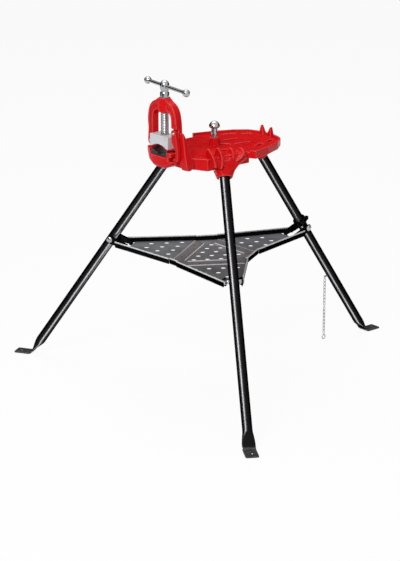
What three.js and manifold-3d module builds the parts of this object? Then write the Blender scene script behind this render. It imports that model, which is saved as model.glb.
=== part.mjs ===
// Tripod pipe vise stand: a cast deck with a yoke vise, three folding tube legs and a folding tray.
// Millimetres, +Z up, floor at Z = 0. +X runs along the pipe from the vise to the rear leg.
import * as THREE from 'three';
import { ConvexGeometry } from 'three/addons/geometries/ConvexGeometry.js';
import { mergeVertices } from 'three/addons/utils/BufferGeometryUtils.js';
import Module from 'manifold-3d';

const wasm = await Module();
wasm.setup();

// Legs: tube of 1 1/4 inch, leaning out from the deck, flattened into a foot plate.
const TUBE_RADIUS = 15.875;
const TUBE_WALL = 2.5;
const LEAN = Math.atan(0.685);
const PIVOT_HEIGHT = 742;
const FRONT_PIVOT_RADIUS = 153.6;
const REAR_PIVOT_RADIUS = 176.6;
const FRONT_AZIMUTH = THREE.MathUtils.degToRad(121.6);
const TUBE_ABOVE_PIVOT = 9;
const FOOT_THICKNESS = 6;
const FOOT_HALF_WIDTH = 21;
const FOOT_REACH = 58;
const FOOT_HOLE_REACH = 38;
const FOOT_HOLE_RADIUS = 5.5;
const FLATTENED_LENGTH = 54;
const PIN_RADIUS = 6;
const GAP = 0.3;

// Folding tray: perforated sheet hinged along the three sides of its middle triangle.
const BOLT_HEIGHT = 439;
const BOLT_RADIUS = 4.5;
const TRAY_TOP = 417;
const SHEET = 2;
const RIM_HEIGHT = 18;
const HINGE_REACH = 112;
const HINGE_CLEARANCE = 3;
const HINGE_BARREL = 2.6;
const FRONT_CORNER = 145;
const FAR_CORNER = 129;
const NEAR_CORNER = 85;
const STRIP_INSET = 9;
const STRIP_TAPER = 0.79;
const WING_END = 64;
const RIM_END = 20;
const RIM_TIP_HALF = 30;
const ARM_INNER = 24.5;
const ARM_THICKNESS = 3;
const HOLE_RADIUS = 7;
const HOLE_PITCH = 46;
const HOLE_MARGIN = 16;
const STRIP_WIDTH = 42;
const STRAP_RADIUS = 22;

// Deck: a narrow front and a wider head, each a cast pan open underneath.
const DECK_TOP = 781;
const DECK_THICKNESS = 12;
const FRONT_TOP = 783;
const FRONT_BOTTOM = 745;
const HEAD_BOTTOM = 762;
const RIM_TOP = 788;
const RIM_WIDTH = 7;
const WALL = 10;
const SOCKET_BOTTOM = 718;
const SOCKET_RADIUS = 25;
const SWING_CLEARANCE = 0.5;

// Vise: yoke, jaws and screw on the axis X = VISE_X.
const VISE_X = -212;
const YOKE_HALF_THICKNESS = 12.5;
const YOKE_OUTER = 70;
const YOKE_INNER = 45;
const YOKE_TOP = 969;
const YOKE_BOTTOM = 808;
const OPENING_TOP = 928;
const PANEL_DEPTH = 3.5;
const HINGE_PIN_Y = 57.5;
const HINGE_PIN_Z = 823;
const LATCH_PIVOT_Z = 866;
const LATCH_Y = -61;
const SCREW_RADIUS = 12.5;
const BOWL_TOP = 802;
const JAW_TOP = 851;
const JAW_BOTTOM = 812;
const HANDLE_Z = 1005;
const HANDLE_RADIUS = 5.5;
const HANDLE_HALF = 113;
const HANDLE_OFFSET = -13;
const HANDLE_ANGLE = THREE.MathUtils.degToRad(82.6);
const BALL_RADIUS = 12;

// Ceiling brace screw in the middle of the deck, and the chain on the rear leg.
const BRACE_X = -9;
const BRACE_RADIUS = 9.5;
const BOSS_TOP = 811;
const CAP_BOTTOM = 841;
const CAP_RADIUS = 18;
const CHAIN_TOP = 236;
const LINK_PITCH = 12;
const LINK_WIRE = 1.25;
const LINK_HALF_WIDTH = 3.7;
const LINKS_PER_LENGTH = 8;

function material(color, roughness, metalness) {
  return new THREE.MeshStandardMaterial({ color, roughness, metalness });
}

const RED = material(0xd8131a, 0.35, 0.1);
const BLACK = material(0x141416, 0.25, 0.4);
const TRAY_GREY = material(0x4a4c50, 0.5, 0.6);
const STEEL = material(0xc4c7ca, 0.2, 1);
const JAW_GREY = material(0xc9ccd0, 0.4, 0.8);
const DARK_STEEL = material(0x3a3c40, 0.45, 0.9);
const ZINC = material(0x9a9da2, 0.35, 0.9);

const stand = new THREE.Group();

// Solids: closed geometries become manifolds so that they can be joined and cut.
function solid(geometry) {
  const bare = geometry.clone();
  bare.deleteAttribute('normal');
  bare.deleteAttribute('uv');
  const merged = mergeVertices(bare, 1e-4);
  const vertProperties = new Float32Array(merged.attributes.position.array);
  const triVerts = new Uint32Array(merged.index.array);
  return new wasm.Manifold(new wasm.Mesh({ numProp: 3, vertProperties, triVerts }));
}

function join(first, ...rest) {
  return rest.reduce((sum, piece) => sum.add(piece), first);
}

function cut(first, ...rest) {
  return rest.reduce((sum, piece) => sum.subtract(piece), first);
}

function place(name, body, look, group = stand) {
  const data = body.getMesh();
  const geometry = new THREE.BufferGeometry();
  geometry.setAttribute('position', new THREE.BufferAttribute(new Float32Array(data.vertProperties), 3));
  geometry.setIndex(new THREE.BufferAttribute(new Uint32Array(data.triVerts), 1));
  geometry.computeVertexNormals();
  const mesh = new THREE.Mesh(geometry, look);
  mesh.name = name;
  group.add(mesh);
}

function box(x0, x1, y0, y1, z0, z1) {
  const geometry = new THREE.BoxGeometry(x1 - x0, y1 - y0, z1 - z0);
  return solid(geometry.translate((x0 + x1) / 2, (y0 + y1) / 2, (z0 + z1) / 2));
}

// A round bar from one point to another.
function rod(radius, from, to, sides = 16, endRadius = radius) {
  const start = new THREE.Vector3(...from);
  const end = new THREE.Vector3(...to);
  const along = end.clone().sub(start);
  const geometry = new THREE.CylinderGeometry(endRadius, radius, along.length(), sides);
  const turn = new THREE.Quaternion().setFromUnitVectors(new THREE.Vector3(0, 1, 0), along.normalize());
  geometry.applyQuaternion(turn);
  const middle = start.add(end).multiplyScalar(0.5);
  return solid(geometry.translate(middle.x, middle.y, middle.z));
}

function ball(radius, x, y, z, sides = 14) {
  return solid(new THREE.SphereGeometry(radius, sides, sides / 2).translate(x, y, z));
}

function hull(points) {
  return solid(new ConvexGeometry(points.map((point) => new THREE.Vector3(...point))));
}

function outline(points) {
  return new THREE.Shape(points.map(([u, v]) => new THREE.Vector2(u, v)));
}

function extruded(shape, depth, curveSegments) {
  return new THREE.ExtrudeGeometry(shape, { depth, bevelEnabled: false, curveSegments });
}

// A plan outline (X, Y) between two heights.
function slab(shape, z0, z1, curveSegments = 6) {
  return solid(extruded(shape, z1 - z0, curveSegments).translate(0, 0, z0));
}

// A front outline (Y, Z) between two stations along X.
function acrossX(shape, x0, x1, curveSegments = 6) {
  const geometry = extruded(shape, x1 - x0, curveSegments);
  const axes = new THREE.Matrix4().makeBasis(
    new THREE.Vector3(0, 1, 0),
    new THREE.Vector3(0, 0, 1),
    new THREE.Vector3(1, 0, 0),
  );
  return solid(geometry.applyMatrix4(axes).translate(x0, 0, 0));
}

// A side outline (X, Z) between two stations along Y.
function acrossY(shape, y0, y1, curveSegments = 6) {
  const geometry = extruded(shape, y1 - y0, curveSegments);
  return solid(geometry.rotateX(Math.PI / 2).translate(0, y1, 0));
}

// Turns a solid drawn along +X about the stand's upright axis.
function turned(body, azimuth) {
  const data = body.getMesh();
  const geometry = new THREE.BufferGeometry();
  geometry.setAttribute('position', new THREE.BufferAttribute(new Float32Array(data.vertProperties), 3));
  geometry.setIndex(new THREE.BufferAttribute(new Uint32Array(data.triVerts), 1));
  return solid(geometry.rotateZ(azimuth));
}

const LEGS = [
  { name: 'left', azimuth: FRONT_AZIMUTH, pivot: FRONT_PIVOT_RADIUS, halves: [FAR_CORNER, FRONT_CORNER] },
  { name: 'near', azimuth: -FRONT_AZIMUTH, pivot: FRONT_PIVOT_RADIUS, halves: [FRONT_CORNER, NEAR_CORNER] },
  { name: 'rear', azimuth: 0, pivot: REAR_PIVOT_RADIUS, halves: [NEAR_CORNER, FAR_CORNER] },
];

// Distance of a leg's axis from the stand's upright axis at a height.
function legReach(leg, height) {
  return leg.pivot + (PIVOT_HEIGHT - height) * Math.tan(LEAN);
}

// Points of a circle square to the leg, centred on its axis at a height.
function legRing(leg, height, radius, sides) {
  const reach = legReach(leg, height);
  return Array.from({ length: sides }, (_, index) => {
    const angle = (index / sides) * 2 * Math.PI;
    const outward = radius * Math.cos(angle);
    return [reach + outward * Math.cos(LEAN), radius * Math.sin(angle), height + outward * Math.sin(LEAN)];
  });
}

// Front of the deck, behind the vise neck, drawn in by an inset.
function frontOutline(inset) {
  const half = 130 - inset;
  const side = [[-166 + inset, 82 - inset / 2], [-146 + inset / 2, half], [26, half]];
  const mirrored = side.map(([x, y]) => [x, -y]);
  return outline([...mirrored, ...side.reverse()]);
}

// Head of the deck: it steps out from the front, tapers, and ends in a round.
function headOutline(inset, frontX) {
  const side = [[frontX, 130 - inset], [30 + inset / 2, 158 - inset], [100, 138 - inset], [165, 110 - inset]];
  const shoulder = [204 - inset / 2, 80 - inset];
  const end = 224 - inset;
  const shape = new THREE.Shape();
  shape.moveTo(frontX, inset - 130);
  side.slice(1).forEach(([x, y]) => shape.lineTo(x, -y));
  shape.lineTo(shoulder[0], -shoulder[1]);
  shape.quadraticCurveTo(end, inset - 50, end, 0);
  shape.quadraticCurveTo(end, 50 - inset, shoulder[0], shoulder[1]);
  side.slice().reverse().forEach(([x, y]) => shape.lineTo(x, y));
  shape.closePath();
  return shape;
}

function deckPan() {
  const plateBottom = DECK_TOP - DECK_THICKNESS;
  const front = cut(
    slab(frontOutline(0), FRONT_BOTTOM, FRONT_TOP),
    slab(frontOutline(WALL), FRONT_BOTTOM - 5, plateBottom),
  );
  const head = cut(
    slab(headOutline(0, 14), HEAD_BOTTOM, RIM_TOP),
    slab(headOutline(RIM_WIDTH, 0), DECK_TOP, RIM_TOP + 5),
    slab(headOutline(WALL, 34), HEAD_BOTTOM - 5, plateBottom),
  );
  return join(front, head);
}

// Rear leg's socket: cheeks and an outer wall round the top of the leg, open towards the middle.
function rearSocket(leg) {
  const rim = legRing(leg, SOCKET_BOTTOM, SOCKET_RADIUS, 16);
  const plan = [[-54, -36], [-54, 36], [26, -36], [26, 36]];
  const shoulder = plan.flatMap(([along, across]) => [
    [leg.pivot + along, across, DECK_TOP - 4],
    [leg.pivot + along, across, DECK_TOP - 22],
  ]);
  return hull([...rim, ...shoulder]);
}

// Front leg's socket: a broad funnel from the deck's skirt down to the leg.
function frontSocket(leg) {
  const side = Math.sign(leg.azimuth);
  const c = Math.cos(leg.azimuth);
  const s = Math.sin(leg.azimuth);
  const place = ([x, y, z]) => [x * c - y * s, x * s + y * c, z];
  const band = (z, front, rear, inward, outward) => {
    const reach = legReach(leg, z);
    const plan = [
      [reach + outward, -12], [reach + outward, 12],
      [reach + outward / 2, -front * 0.8], [reach + outward / 2, rear * 0.8],
      [reach - inward, -front], [reach - inward, rear],
    ];
    return plan.map(([along, across]) => place([along, -side * across, z]));
  };
  const rim = legRing(leg, SOCKET_BOTTOM, SOCKET_RADIUS, 16).map(place);
  const waist = band(740, 34, 40, 24, 27);
  const shoulder = band(754, 48, 58, 36, 25);
  const skirt = [[-138, 129], [-62, 138], [20, 131]];
  const inner = [[-126, 84], [2, 92]];
  const walls = [...skirt, ...inner].flatMap(([x, y]) => [[x, y * side, 764], [x, y * side, 777]]);
  return join(hull([...rim, ...waist]), hull([...waist, ...shoulder]), hull([...shoulder, ...walls]));
}

// The room that a leg needs to swing in from its open position.
function swingRoom(leg) {
  const clear = (TUBE_RADIUS + 0.4) / Math.cos(LEAN);
  const top = DECK_TOP - DECK_THICKNESS - 0.5;
  const low = SOCKET_BOTTOM - 60;
  const shape = outline([
    [legReach(leg, top) + clear, top],
    [leg.pivot - 90, top],
    [leg.pivot - 90, low],
    [legReach(leg, low) + clear, low],
  ]);
  const half = TUBE_RADIUS + 0.6;
  const topReach = Math.hypot(TUBE_ABOVE_PIVOT, TUBE_RADIUS) + SWING_CLEARANCE;
  const turn = rod(topReach, [leg.pivot, -half, PIVOT_HEIGHT], [leg.pivot, half, PIVOT_HEIGHT], 32);
  return turned(join(acrossY(shape, -half, half), turn), leg.azimuth);
}

function pinHole(leg) {
  const hole = rod(PIN_RADIUS + 0.3, [leg.pivot, -60, PIVOT_HEIGHT], [leg.pivot, 60, PIVOT_HEIGHT], 16);
  return turned(hole, leg.azimuth);
}

// Bender fingers, each from its tip over the near edge down to its foot on the near leg's socket.
const FINGERS = [
  { tipX: -131, tipZ: 813, footX: -128, footZ: 758 },
  { tipX: -92, tipZ: 810, footX: -106, footZ: 752 },
  { tipX: -39, tipZ: 802, footX: -82, footZ: 742 },
  { tipX: 3, tipZ: 796, footX: -42, footZ: 766 },
];

function benderFinger({ tipX, tipZ, footX, footZ }) {
  const half = 3.6;
  const stations = [
    [0, -118, -112],
    [0.2, -132, -104],
    [0.5, -144, -102],
    [0.8, -150, -104],
    [1, -151, -122],
  ];
  const sections = stations.map(([share, outerY, innerY]) => {
    const x = THREE.MathUtils.lerp(tipX, footX, share * share);
    const z = THREE.MathUtils.lerp(tipZ, footZ, share);
    return [[x - half, outerY, z], [x + half, outerY, z], [x - half, innerY, z], [x + half, innerY, z]];
  });
  const links = sections.slice(1).map((section, index) => hull([...sections[index], ...section]));
  return join(...links);
}

// Scoop out of the deck's near edge between two fingers.
function fingerScoop(first, second) {
  const bottom = DECK_TOP - 10;
  const top = FRONT_TOP + 12;
  const left = THREE.MathUtils.lerp(first.tipX, first.footX, 0.5) + 7;
  const right = THREE.MathUtils.lerp(second.tipX, second.footX, 0.5) - 7;
  const upper = [[first.tipX + 7, -113, top], [second.tipX - 7, -113, top]];
  const lower = [[left, -138, bottom], [right, -138, bottom]];
  const outside = [...upper, ...lower].map(([x, , z]) => [x, -165, z]);
  return hull([...upper, ...lower, ...outside]);
}

function pipeRestProng(side) {
  const base = [4, 30].flatMap((y) => [[204, y * side, DECK_TOP - 5], [222, y * side, DECK_TOP - 5]]);
  const tip = [20, 24.5].flatMap((y) => [[210, y * side, 812], [218, y * side, 812]]);
  return hull([...base, ...tip]);
}

// Boat-shaped bowl under the jaws, hollowed on top for the lower jaw.
function viseBowl() {
  const back = VISE_X + 14;
  const frames = [[0, -242, 748], [26, -241, 749], [50, -236, 760], [69, -227, 778], [80, -217, 798]];
  const points = frames.flatMap(([y, front, low]) => [y, -y].flatMap((across) => [
    [front, across, BOWL_TOP],
    [back, across, BOWL_TOP],
    [front + 1, across, Math.min(low + 8, BOWL_TOP)],
    [front + 9, across, low],
    [back, across, low],
  ]));
  const hollowSection = outline([[-42, 786], [42, 786], [50, BOWL_TOP + 3], [-50, BOWL_TOP + 3]]);
  const hollow = acrossX(hollowSection, VISE_X - 48, back + 5);
  const latchPocket = box(VISE_X - 40, VISE_X - 3, -95, -43.5, 774, 830);
  return cut(hull(points), hollow, latchPocket);
}

function viseNeck() {
  const points = [];
  [[VISE_X + 13, 74, 751, 786], [-140, 124, FRONT_BOTTOM, FRONT_TOP - 1]].forEach(([x, half, low, high]) => {
    [-half, half].forEach((y) => [low, high].forEach((z) => points.push([x, y, z])));
  });
  return hull(points);
}

// Hinge lug behind the yoke's left limb, round the hinge pin.
function hingeLug() {
  const x0 = VISE_X + YOKE_HALF_THICKNESS + 0.6;
  const column = box(x0, x0 + 20, HINGE_PIN_Y - 12, HINGE_PIN_Y + 12, 770, HINGE_PIN_Z);
  return join(column, rod(12, [x0, HINGE_PIN_Y, HINGE_PIN_Z], [x0 + 20, HINGE_PIN_Y, HINGE_PIN_Z], 16));
}

// Horn beside the yoke's right limb: narrow at its tip, broad where it runs out on the neck.
function latchPost() {
  const inner = -YOKE_OUTER - 4;
  const sections = [
    [868, -212, -204, -86],
    [855, -213, -199, -89],
    [835, -213, -194, -92],
    [812, -213, -188, -95],
    [790, -213, -182, -99],
    [770, -212, -178, -103],
    [756, -208, -180, -103],
    [748, -203, -186, -100],
  ].map(([z, front, back, outer]) => [
    [front, inner, z],
    [back, inner, z],
    [front + 3, outer, z],
    [back - 2, outer, z],
  ]);
  const lengths = sections.slice(1).map((section, index) => hull([...sections[index], ...section]));
  const limbRest = VISE_X + YOKE_HALF_THICKNESS + 0.6;
  return join(...lengths, box(limbRest, limbRest + 18, -90, -47, 770, 800));
}

// Keeper that the latch hooks under, on the bowl below the right limb.
function latchKeeper() {
  const nose = box(VISE_X - 27, VISE_X - 4, LATCH_Y + 1.5, LATCH_Y + 21, 790, 803);
  return join(nose, box(VISE_X - 27, VISE_X - 4, LATCH_Y + 13, LATCH_Y + 21, 776, 803));
}

function slotHole(x, y, length, width, angle) {
  const half = length / 2;
  const shape = new THREE.Shape();
  shape.absarc(half, 0, width / 2, -Math.PI / 2, Math.PI / 2);
  shape.absarc(-half, 0, width / 2, Math.PI / 2, 1.5 * Math.PI);
  const geometry = extruded(shape, 40, 4);
  return solid(geometry.rotateZ(angle).translate(x, y, DECK_TOP - 30));
}

function deckCasting() {
  const boss = rod(20, [BRACE_X, 0, DECK_TOP - 6], [BRACE_X, 0, BOSS_TOP], 20, 14.5);
  const plain = join(deckPan(), ...LEGS.slice(0, 2).map(frontSocket), rearSocket(LEGS[2]));
  const scoops = FINGERS.slice(1).map((finger, index) => fingerScoop(FINGERS[index], finger));
  const raised = join(
    cut(plain, ...scoops),
    ...FINGERS.map(benderFinger),
    pipeRestProng(1),
    pipeRestProng(-1),
    boss,
    viseNeck(),
    viseBowl(),
    hingeLug(),
    latchPost(),
    latchKeeper(),
  );
  const toolSlots = [
    slotHole(130, 92, 34, 12, -0.35),
    slotHole(176, 58, 24, 13, -0.42),
    slotHole(113, -78, 30, 14, 0.35),
    slotHole(176, -58, 24, 13, 0.42),
    slotHole(84, 34, 52, 10, 0),
    slotHole(84, -26, 52, 10, 0),
    slotHole(28, -6, 12, 26, -0.8),
    slotHole(-24, -66, 8, 20, 0),
  ];
  return cut(
    raised,
    ...LEGS.map(swingRoom),
    ...LEGS.map(pinHole),
    ...toolSlots,
    rod(BRACE_RADIUS + 0.4, [BRACE_X, 0, 700], [BRACE_X, 0, 900], 20),
    rod(6.3, [VISE_X - 60, HINGE_PIN_Y, HINGE_PIN_Z], [VISE_X + 60, HINGE_PIN_Y, HINGE_PIN_Z], 16),
    rod(4.3, [VISE_X - 2, 0, 700], [VISE_X - 2, 0, 800], 12),
  );
}

function yoke() {
  const shape = new THREE.Shape();
  const crown = YOKE_TOP - 3;
  shape.moveTo(YOKE_INNER, HINGE_PIN_Z);
  shape.absarc(HINGE_PIN_Y, HINGE_PIN_Z, HINGE_PIN_Y - YOKE_INNER, Math.PI, 2 * Math.PI, false);
  shape.lineTo(YOKE_OUTER - 3, 866);
  shape.quadraticCurveTo(YOKE_OUTER + 2, 890, YOKE_OUTER - 2, 912);
  shape.quadraticCurveTo(YOKE_OUTER - 8, 944, 40, 954);
  shape.quadraticCurveTo(27, 959, 20, crown);
  shape.lineTo(-20, crown);
  shape.quadraticCurveTo(-27, 959, -40, 954);
  shape.quadraticCurveTo(-YOKE_OUTER + 8, 944, -YOKE_OUTER + 2, 912);
  shape.quadraticCurveTo(-YOKE_OUTER - 2, 890, -YOKE_OUTER - 2, 866);
  shape.lineTo(-YOKE_OUTER - 2, YOKE_BOTTOM);
  shape.lineTo(-YOKE_INNER - 2, YOKE_BOTTOM);
  shape.lineTo(-YOKE_INNER, 900);
  shape.quadraticCurveTo(-YOKE_INNER, OPENING_TOP, -18, OPENING_TOP);
  shape.lineTo(18, OPENING_TOP);
  shape.quadraticCurveTo(YOKE_INNER, OPENING_TOP, YOKE_INNER, 900);
  shape.closePath();
  const front = VISE_X - YOKE_HALF_THICKNESS;
  const arch = acrossX(shape, front, VISE_X + YOKE_HALF_THICKNESS, 8);
  const boss = rod(21, [VISE_X, 0, OPENING_TOP - 4], [VISE_X, 0, YOKE_TOP], 24, 19);
  const recessTop = LATCH_PIVOT_Z + 13;
  const recess = box(front - 1, front + 9, LATCH_Y - 13, 6 - YOKE_INNER, YOKE_BOTTOM - 5, recessTop);
  const back = VISE_X + YOKE_HALF_THICKNESS;
  const panelOuter = [[62, 905], [56, 930], [40, 944], [24, 948]];
  const panelInner = [[24, 937], [38, 931], [49, 917], [51, 900]];
  const panels = [[1, 846], [-1, 886]].flatMap(([side, low]) => {
    const points = [[51, low], [62, low], ...panelOuter, ...panelInner];
    const panel = outline(points.map(([y, z]) => [y * side, z]));
    return [acrossX(panel, front - 1, front + PANEL_DEPTH), acrossX(panel, back - PANEL_DEPTH, back + 1)];
  });
  return cut(
    join(arch, boss),
    recess,
    ...panels,
    rod(SCREW_RADIUS + 0.4, [VISE_X, 0, 900], [VISE_X, 0, 1000], 24),
    rod(6.3, [VISE_X - 60, HINGE_PIN_Y, HINGE_PIN_Z], [VISE_X + 60, HINGE_PIN_Y, HINGE_PIN_Z], 16),
    rod(5.3, [VISE_X - 60, LATCH_Y, LATCH_PIVOT_Z], [VISE_X + 60, LATCH_Y, LATCH_PIVOT_Z], 12),
  );
}

// Latch bar in the recess of the right limb, with a toe that turns in under the keeper.
function latch() {
  const front = VISE_X - YOKE_HALF_THICKNESS;
  const bar = outline([
    [LATCH_Y - 10, LATCH_PIVOT_Z + 6],
    [LATCH_Y - 6, LATCH_PIVOT_Z + 10],
    [LATCH_Y + 6, LATCH_PIVOT_Z + 10],
    [LATCH_Y + 10, LATCH_PIVOT_Z + 6],
    [LATCH_Y + 8, 838],
    [LATCH_Y - 11, 814],
    [LATCH_Y - 11, 788],
    [LATCH_Y + 1, 787],
    [LATCH_Y + 1, 779],
    [LATCH_Y - 18, 779],
    [LATCH_Y - 21, 784],
    [LATCH_Y - 21, 814],
  ]);
  const hole = rod(5.3, [front - 30, LATCH_Y, LATCH_PIVOT_Z], [front + 30, LATCH_Y, LATCH_PIVOT_Z], 12);
  return cut(acrossX(bar, front - 4, front + 8.4), hole);
}

function upperJaw() {
  const shape = new THREE.Shape();
  shape.moveTo(44, JAW_TOP);
  shape.lineTo(-44, JAW_TOP);
  shape.lineTo(-44, JAW_BOTTOM);
  shape.lineTo(-37, JAW_BOTTOM);
  shape.quadraticCurveTo(-18, 823, 0, 823);
  shape.quadraticCurveTo(18, 823, 37, JAW_BOTTOM);
  shape.lineTo(44, JAW_BOTTOM);
  shape.closePath();
  const seat = rod(8.4, [VISE_X, 0, JAW_TOP - 12], [VISE_X, 0, JAW_TOP + 5], 16);
  return cut(acrossX(shape, VISE_X - 25, VISE_X + 22), seat);
}

// Lower jaw: a hardened block with a toothed V, held from below by a screw.
function lowerJaw() {
  const teeth = 5;
  const points = [[-38, 786 + GAP], [38, 786 + GAP], [38, 803]];
  for (let tooth = 0; tooth < teeth; tooth += 1) {
    const along = tooth / teeth;
    points.push([36 - along * 30, 805 - along * 11]);
    points.push([32 - along * 30, 800.5 - along * 11]);
  }
  for (let tooth = teeth - 1; tooth >= 0; tooth -= 1) {
    const along = tooth / teeth;
    points.push([-32 + along * 30, 800.5 - along * 11]);
    points.push([-36 + along * 30, 805 - along * 11]);
  }
  points.push([-38, 803]);
  const hole = rod(4.3, [VISE_X - 2, 0, 780], [VISE_X - 2, 0, 789], 12);
  return cut(acrossX(outline(points), VISE_X - 24, VISE_X + 13), hole);
}

function lowerJawScrew() {
  const head = rod(7, [VISE_X - 2, 0, 742], [VISE_X - 2, 0, 748 - GAP], 6);
  return join(head, rod(4, [VISE_X - 2, 0, 744], [VISE_X - 2, 0, 788.5], 12));
}

function viseScrew() {
  const profile = [
    [0, JAW_TOP - 9], [7.8, JAW_TOP - 9], [7.8, JAW_TOP + GAP], [SCREW_RADIUS, JAW_TOP + GAP],
    [SCREW_RADIUS, YOKE_TOP + 0.8], [14.5, YOKE_TOP + 0.8], [14.5, 984], [12, 988], [14.5, 996],
    [15, HANDLE_Z], [14, 1014], [9, 1021], [0, 1023],
  ];
  const spindle = new THREE.LatheGeometry(profile.map(([r, z]) => new THREE.Vector2(r, z)), 24);
  const reach = [Math.cos(HANDLE_ANGLE) * 40, Math.sin(HANDLE_ANGLE) * 40];
  const hole = rod(
    HANDLE_RADIUS + 0.4,
    [VISE_X - reach[0], -reach[1], HANDLE_Z],
    [VISE_X + reach[0], reach[1], HANDLE_Z],
    16,
  );
  return cut(solid(spindle.rotateX(Math.PI / 2).translate(VISE_X, 0, 0)), hole);
}

// A point on the handle's axis, measured from its middle.
function handlePoint(along) {
  const from = along + HANDLE_OFFSET;
  return [VISE_X + from * Math.cos(HANDLE_ANGLE), from * Math.sin(HANDLE_ANGLE), HANDLE_Z];
}

function handleBall(side) {
  const hole = rod(4.3, handlePoint(side * (HANDLE_HALF - 20)), handlePoint(side * (HANDLE_HALF + 1)), 12);
  return cut(ball(BALL_RADIUS, ...handlePoint(side * HANDLE_HALF)), hole);
}

function handleBar() {
  const inner = HANDLE_HALF - BALL_RADIUS;
  const grip = rod(HANDLE_RADIUS, handlePoint(-inner), handlePoint(inner), 16);
  return join(grip, rod(4, handlePoint(-HANDLE_HALF), handlePoint(HANDLE_HALF), 12));
}

function braceCap() {
  const points = [
    [0, CAP_BOTTOM + 8], [7, CAP_BOTTOM + 8], [7, CAP_BOTTOM], [15, CAP_BOTTOM], [CAP_RADIUS, CAP_BOTTOM + 4],
    [CAP_RADIUS, CAP_BOTTOM + 7], [15.5, CAP_BOTTOM + 14], [9, CAP_BOTTOM + 20], [0, CAP_BOTTOM + 22],
  ];
  const lathe = new THREE.LatheGeometry(points.map(([r, z]) => new THREE.Vector2(r, z)), 24);
  return solid(lathe.rotateX(Math.PI / 2).translate(BRACE_X, 0, 0));
}

function braceScrew() {
  const shank = rod(BRACE_RADIUS, [BRACE_X, 0, 706], [BRACE_X, 0, CAP_BOTTOM - GAP], 20);
  return join(shank, rod(6.6, [BRACE_X, 0, CAP_BOTTOM - 5], [BRACE_X, 0, CAP_BOTTOM + 7.6], 16));
}

// A leg: tube, flattened shank and foot plate in one piece, drawn along +X and turned into place.
function legTube(leg) {
  const up = TUBE_ABOVE_PIVOT;
  const top = [leg.pivot - up * Math.sin(LEAN), 0, PIVOT_HEIGHT + up * Math.cos(LEAN)];
  const floorReach = legReach(leg, FOOT_THICKNESS / 2);
  const shankHeight = FLATTENED_LENGTH * Math.cos(LEAN);
  const tubeEnd = shankHeight - 3;
  const tube = rod(TUBE_RADIUS, top, [legReach(leg, tubeEnd), 0, tubeEnd], 20);
  const flat = [];
  [-7, 7].forEach((along) => [-FOOT_HALF_WIDTH, FOOT_HALF_WIDTH].forEach((across) => {
    [0, FOOT_THICKNESS].forEach((height) => flat.push([floorReach + along, across, height]));
  }));
  const shank = hull([...legRing(leg, shankHeight, TUBE_RADIUS + 0.2, 20), ...flat]);
  const plate = new THREE.Shape();
  const end = floorReach + FOOT_REACH;
  plate.moveTo(floorReach, -FOOT_HALF_WIDTH);
  plate.lineTo(end - 8, -FOOT_HALF_WIDTH);
  plate.quadraticCurveTo(end, -FOOT_HALF_WIDTH, end, -FOOT_HALF_WIDTH + 8);
  plate.lineTo(end, FOOT_HALF_WIDTH - 8);
  plate.quadraticCurveTo(end, FOOT_HALF_WIDTH, end - 8, FOOT_HALF_WIDTH);
  plate.lineTo(floorReach, FOOT_HALF_WIDTH);
  plate.closePath();
  const foot = slab(plate, 0, FOOT_THICKNESS, 3);
  const holeReach = floorReach + FOOT_HOLE_REACH;
  const boreTop = [top[0] - Math.sin(LEAN) * 5, 0, top[2] + Math.cos(LEAN) * 5];
  const boltReach = legReach(leg, BOLT_HEIGHT);
  const body = cut(
    join(tube, shank, foot),
    rod(TUBE_RADIUS - TUBE_WALL, boreTop, [legReach(leg, shankHeight + 6), 0, shankHeight + 6], 20),
    rod(FOOT_HOLE_RADIUS, [holeReach, 0, -5], [holeReach, 0, 15], 16),
    rod(PIN_RADIUS + 0.3, [leg.pivot, -30, PIVOT_HEIGHT], [leg.pivot, 30, PIVOT_HEIGHT], 16),
    rod(BOLT_RADIUS + GAP, [boltReach, -30, BOLT_HEIGHT], [boltReach, 30, BOLT_HEIGHT], 12),
  );
  return turned(body, leg.azimuth);
}

function legPin(leg) {
  const pin = rod(PIN_RADIUS, [leg.pivot, -32, PIVOT_HEIGHT], [leg.pivot, 32, PIVOT_HEIGHT], 16);
  return turned(pin, leg.azimuth);
}

// Bolt through the leg that the tray's bracket turns on, with its head and nut inside the bracket arms.
function trayBolt(leg) {
  const reach = legReach(leg, BOLT_HEIGHT);
  const shank = rod(BOLT_RADIUS, [reach, -22, BOLT_HEIGHT], [reach, 23.8, BOLT_HEIGHT], 12);
  const head = rod(8, [reach, -23.8, BOLT_HEIGHT], [reach, -TUBE_RADIUS - GAP, BOLT_HEIGHT], 12);
  return turned(join(shank, head), leg.azimuth);
}

function trayNut(leg) {
  const reach = legReach(leg, BOLT_HEIGHT);
  const blank = rod(8, [reach, TUBE_RADIUS + GAP, BOLT_HEIGHT], [reach, 23, BOLT_HEIGHT], 6);
  const hole = rod(BOLT_RADIUS + GAP, [reach, 0, BOLT_HEIGHT], [reach, 40, BOLT_HEIGHT], 12);
  return turned(cut(blank, hole), leg.azimuth);
}

// Rows of round holes over an area of sheet.
function perforations(inside, from, to, rowStep) {
  const holes = [];
  for (let row = 0, x = from; x <= to; row += 1, x += rowStep) {
    const shift = (row % 2) * (HOLE_PITCH / 2);
    for (let index = -4; index <= 4; index += 1) {
      const y = index * HOLE_PITCH + shift;
      if (inside(x, y)) {
        holes.push(rod(HOLE_RADIUS, [x, y, TRAY_TOP - 8], [x, y, TRAY_TOP + 6], 10));
      }
    }
  }
  return holes;
}

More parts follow.
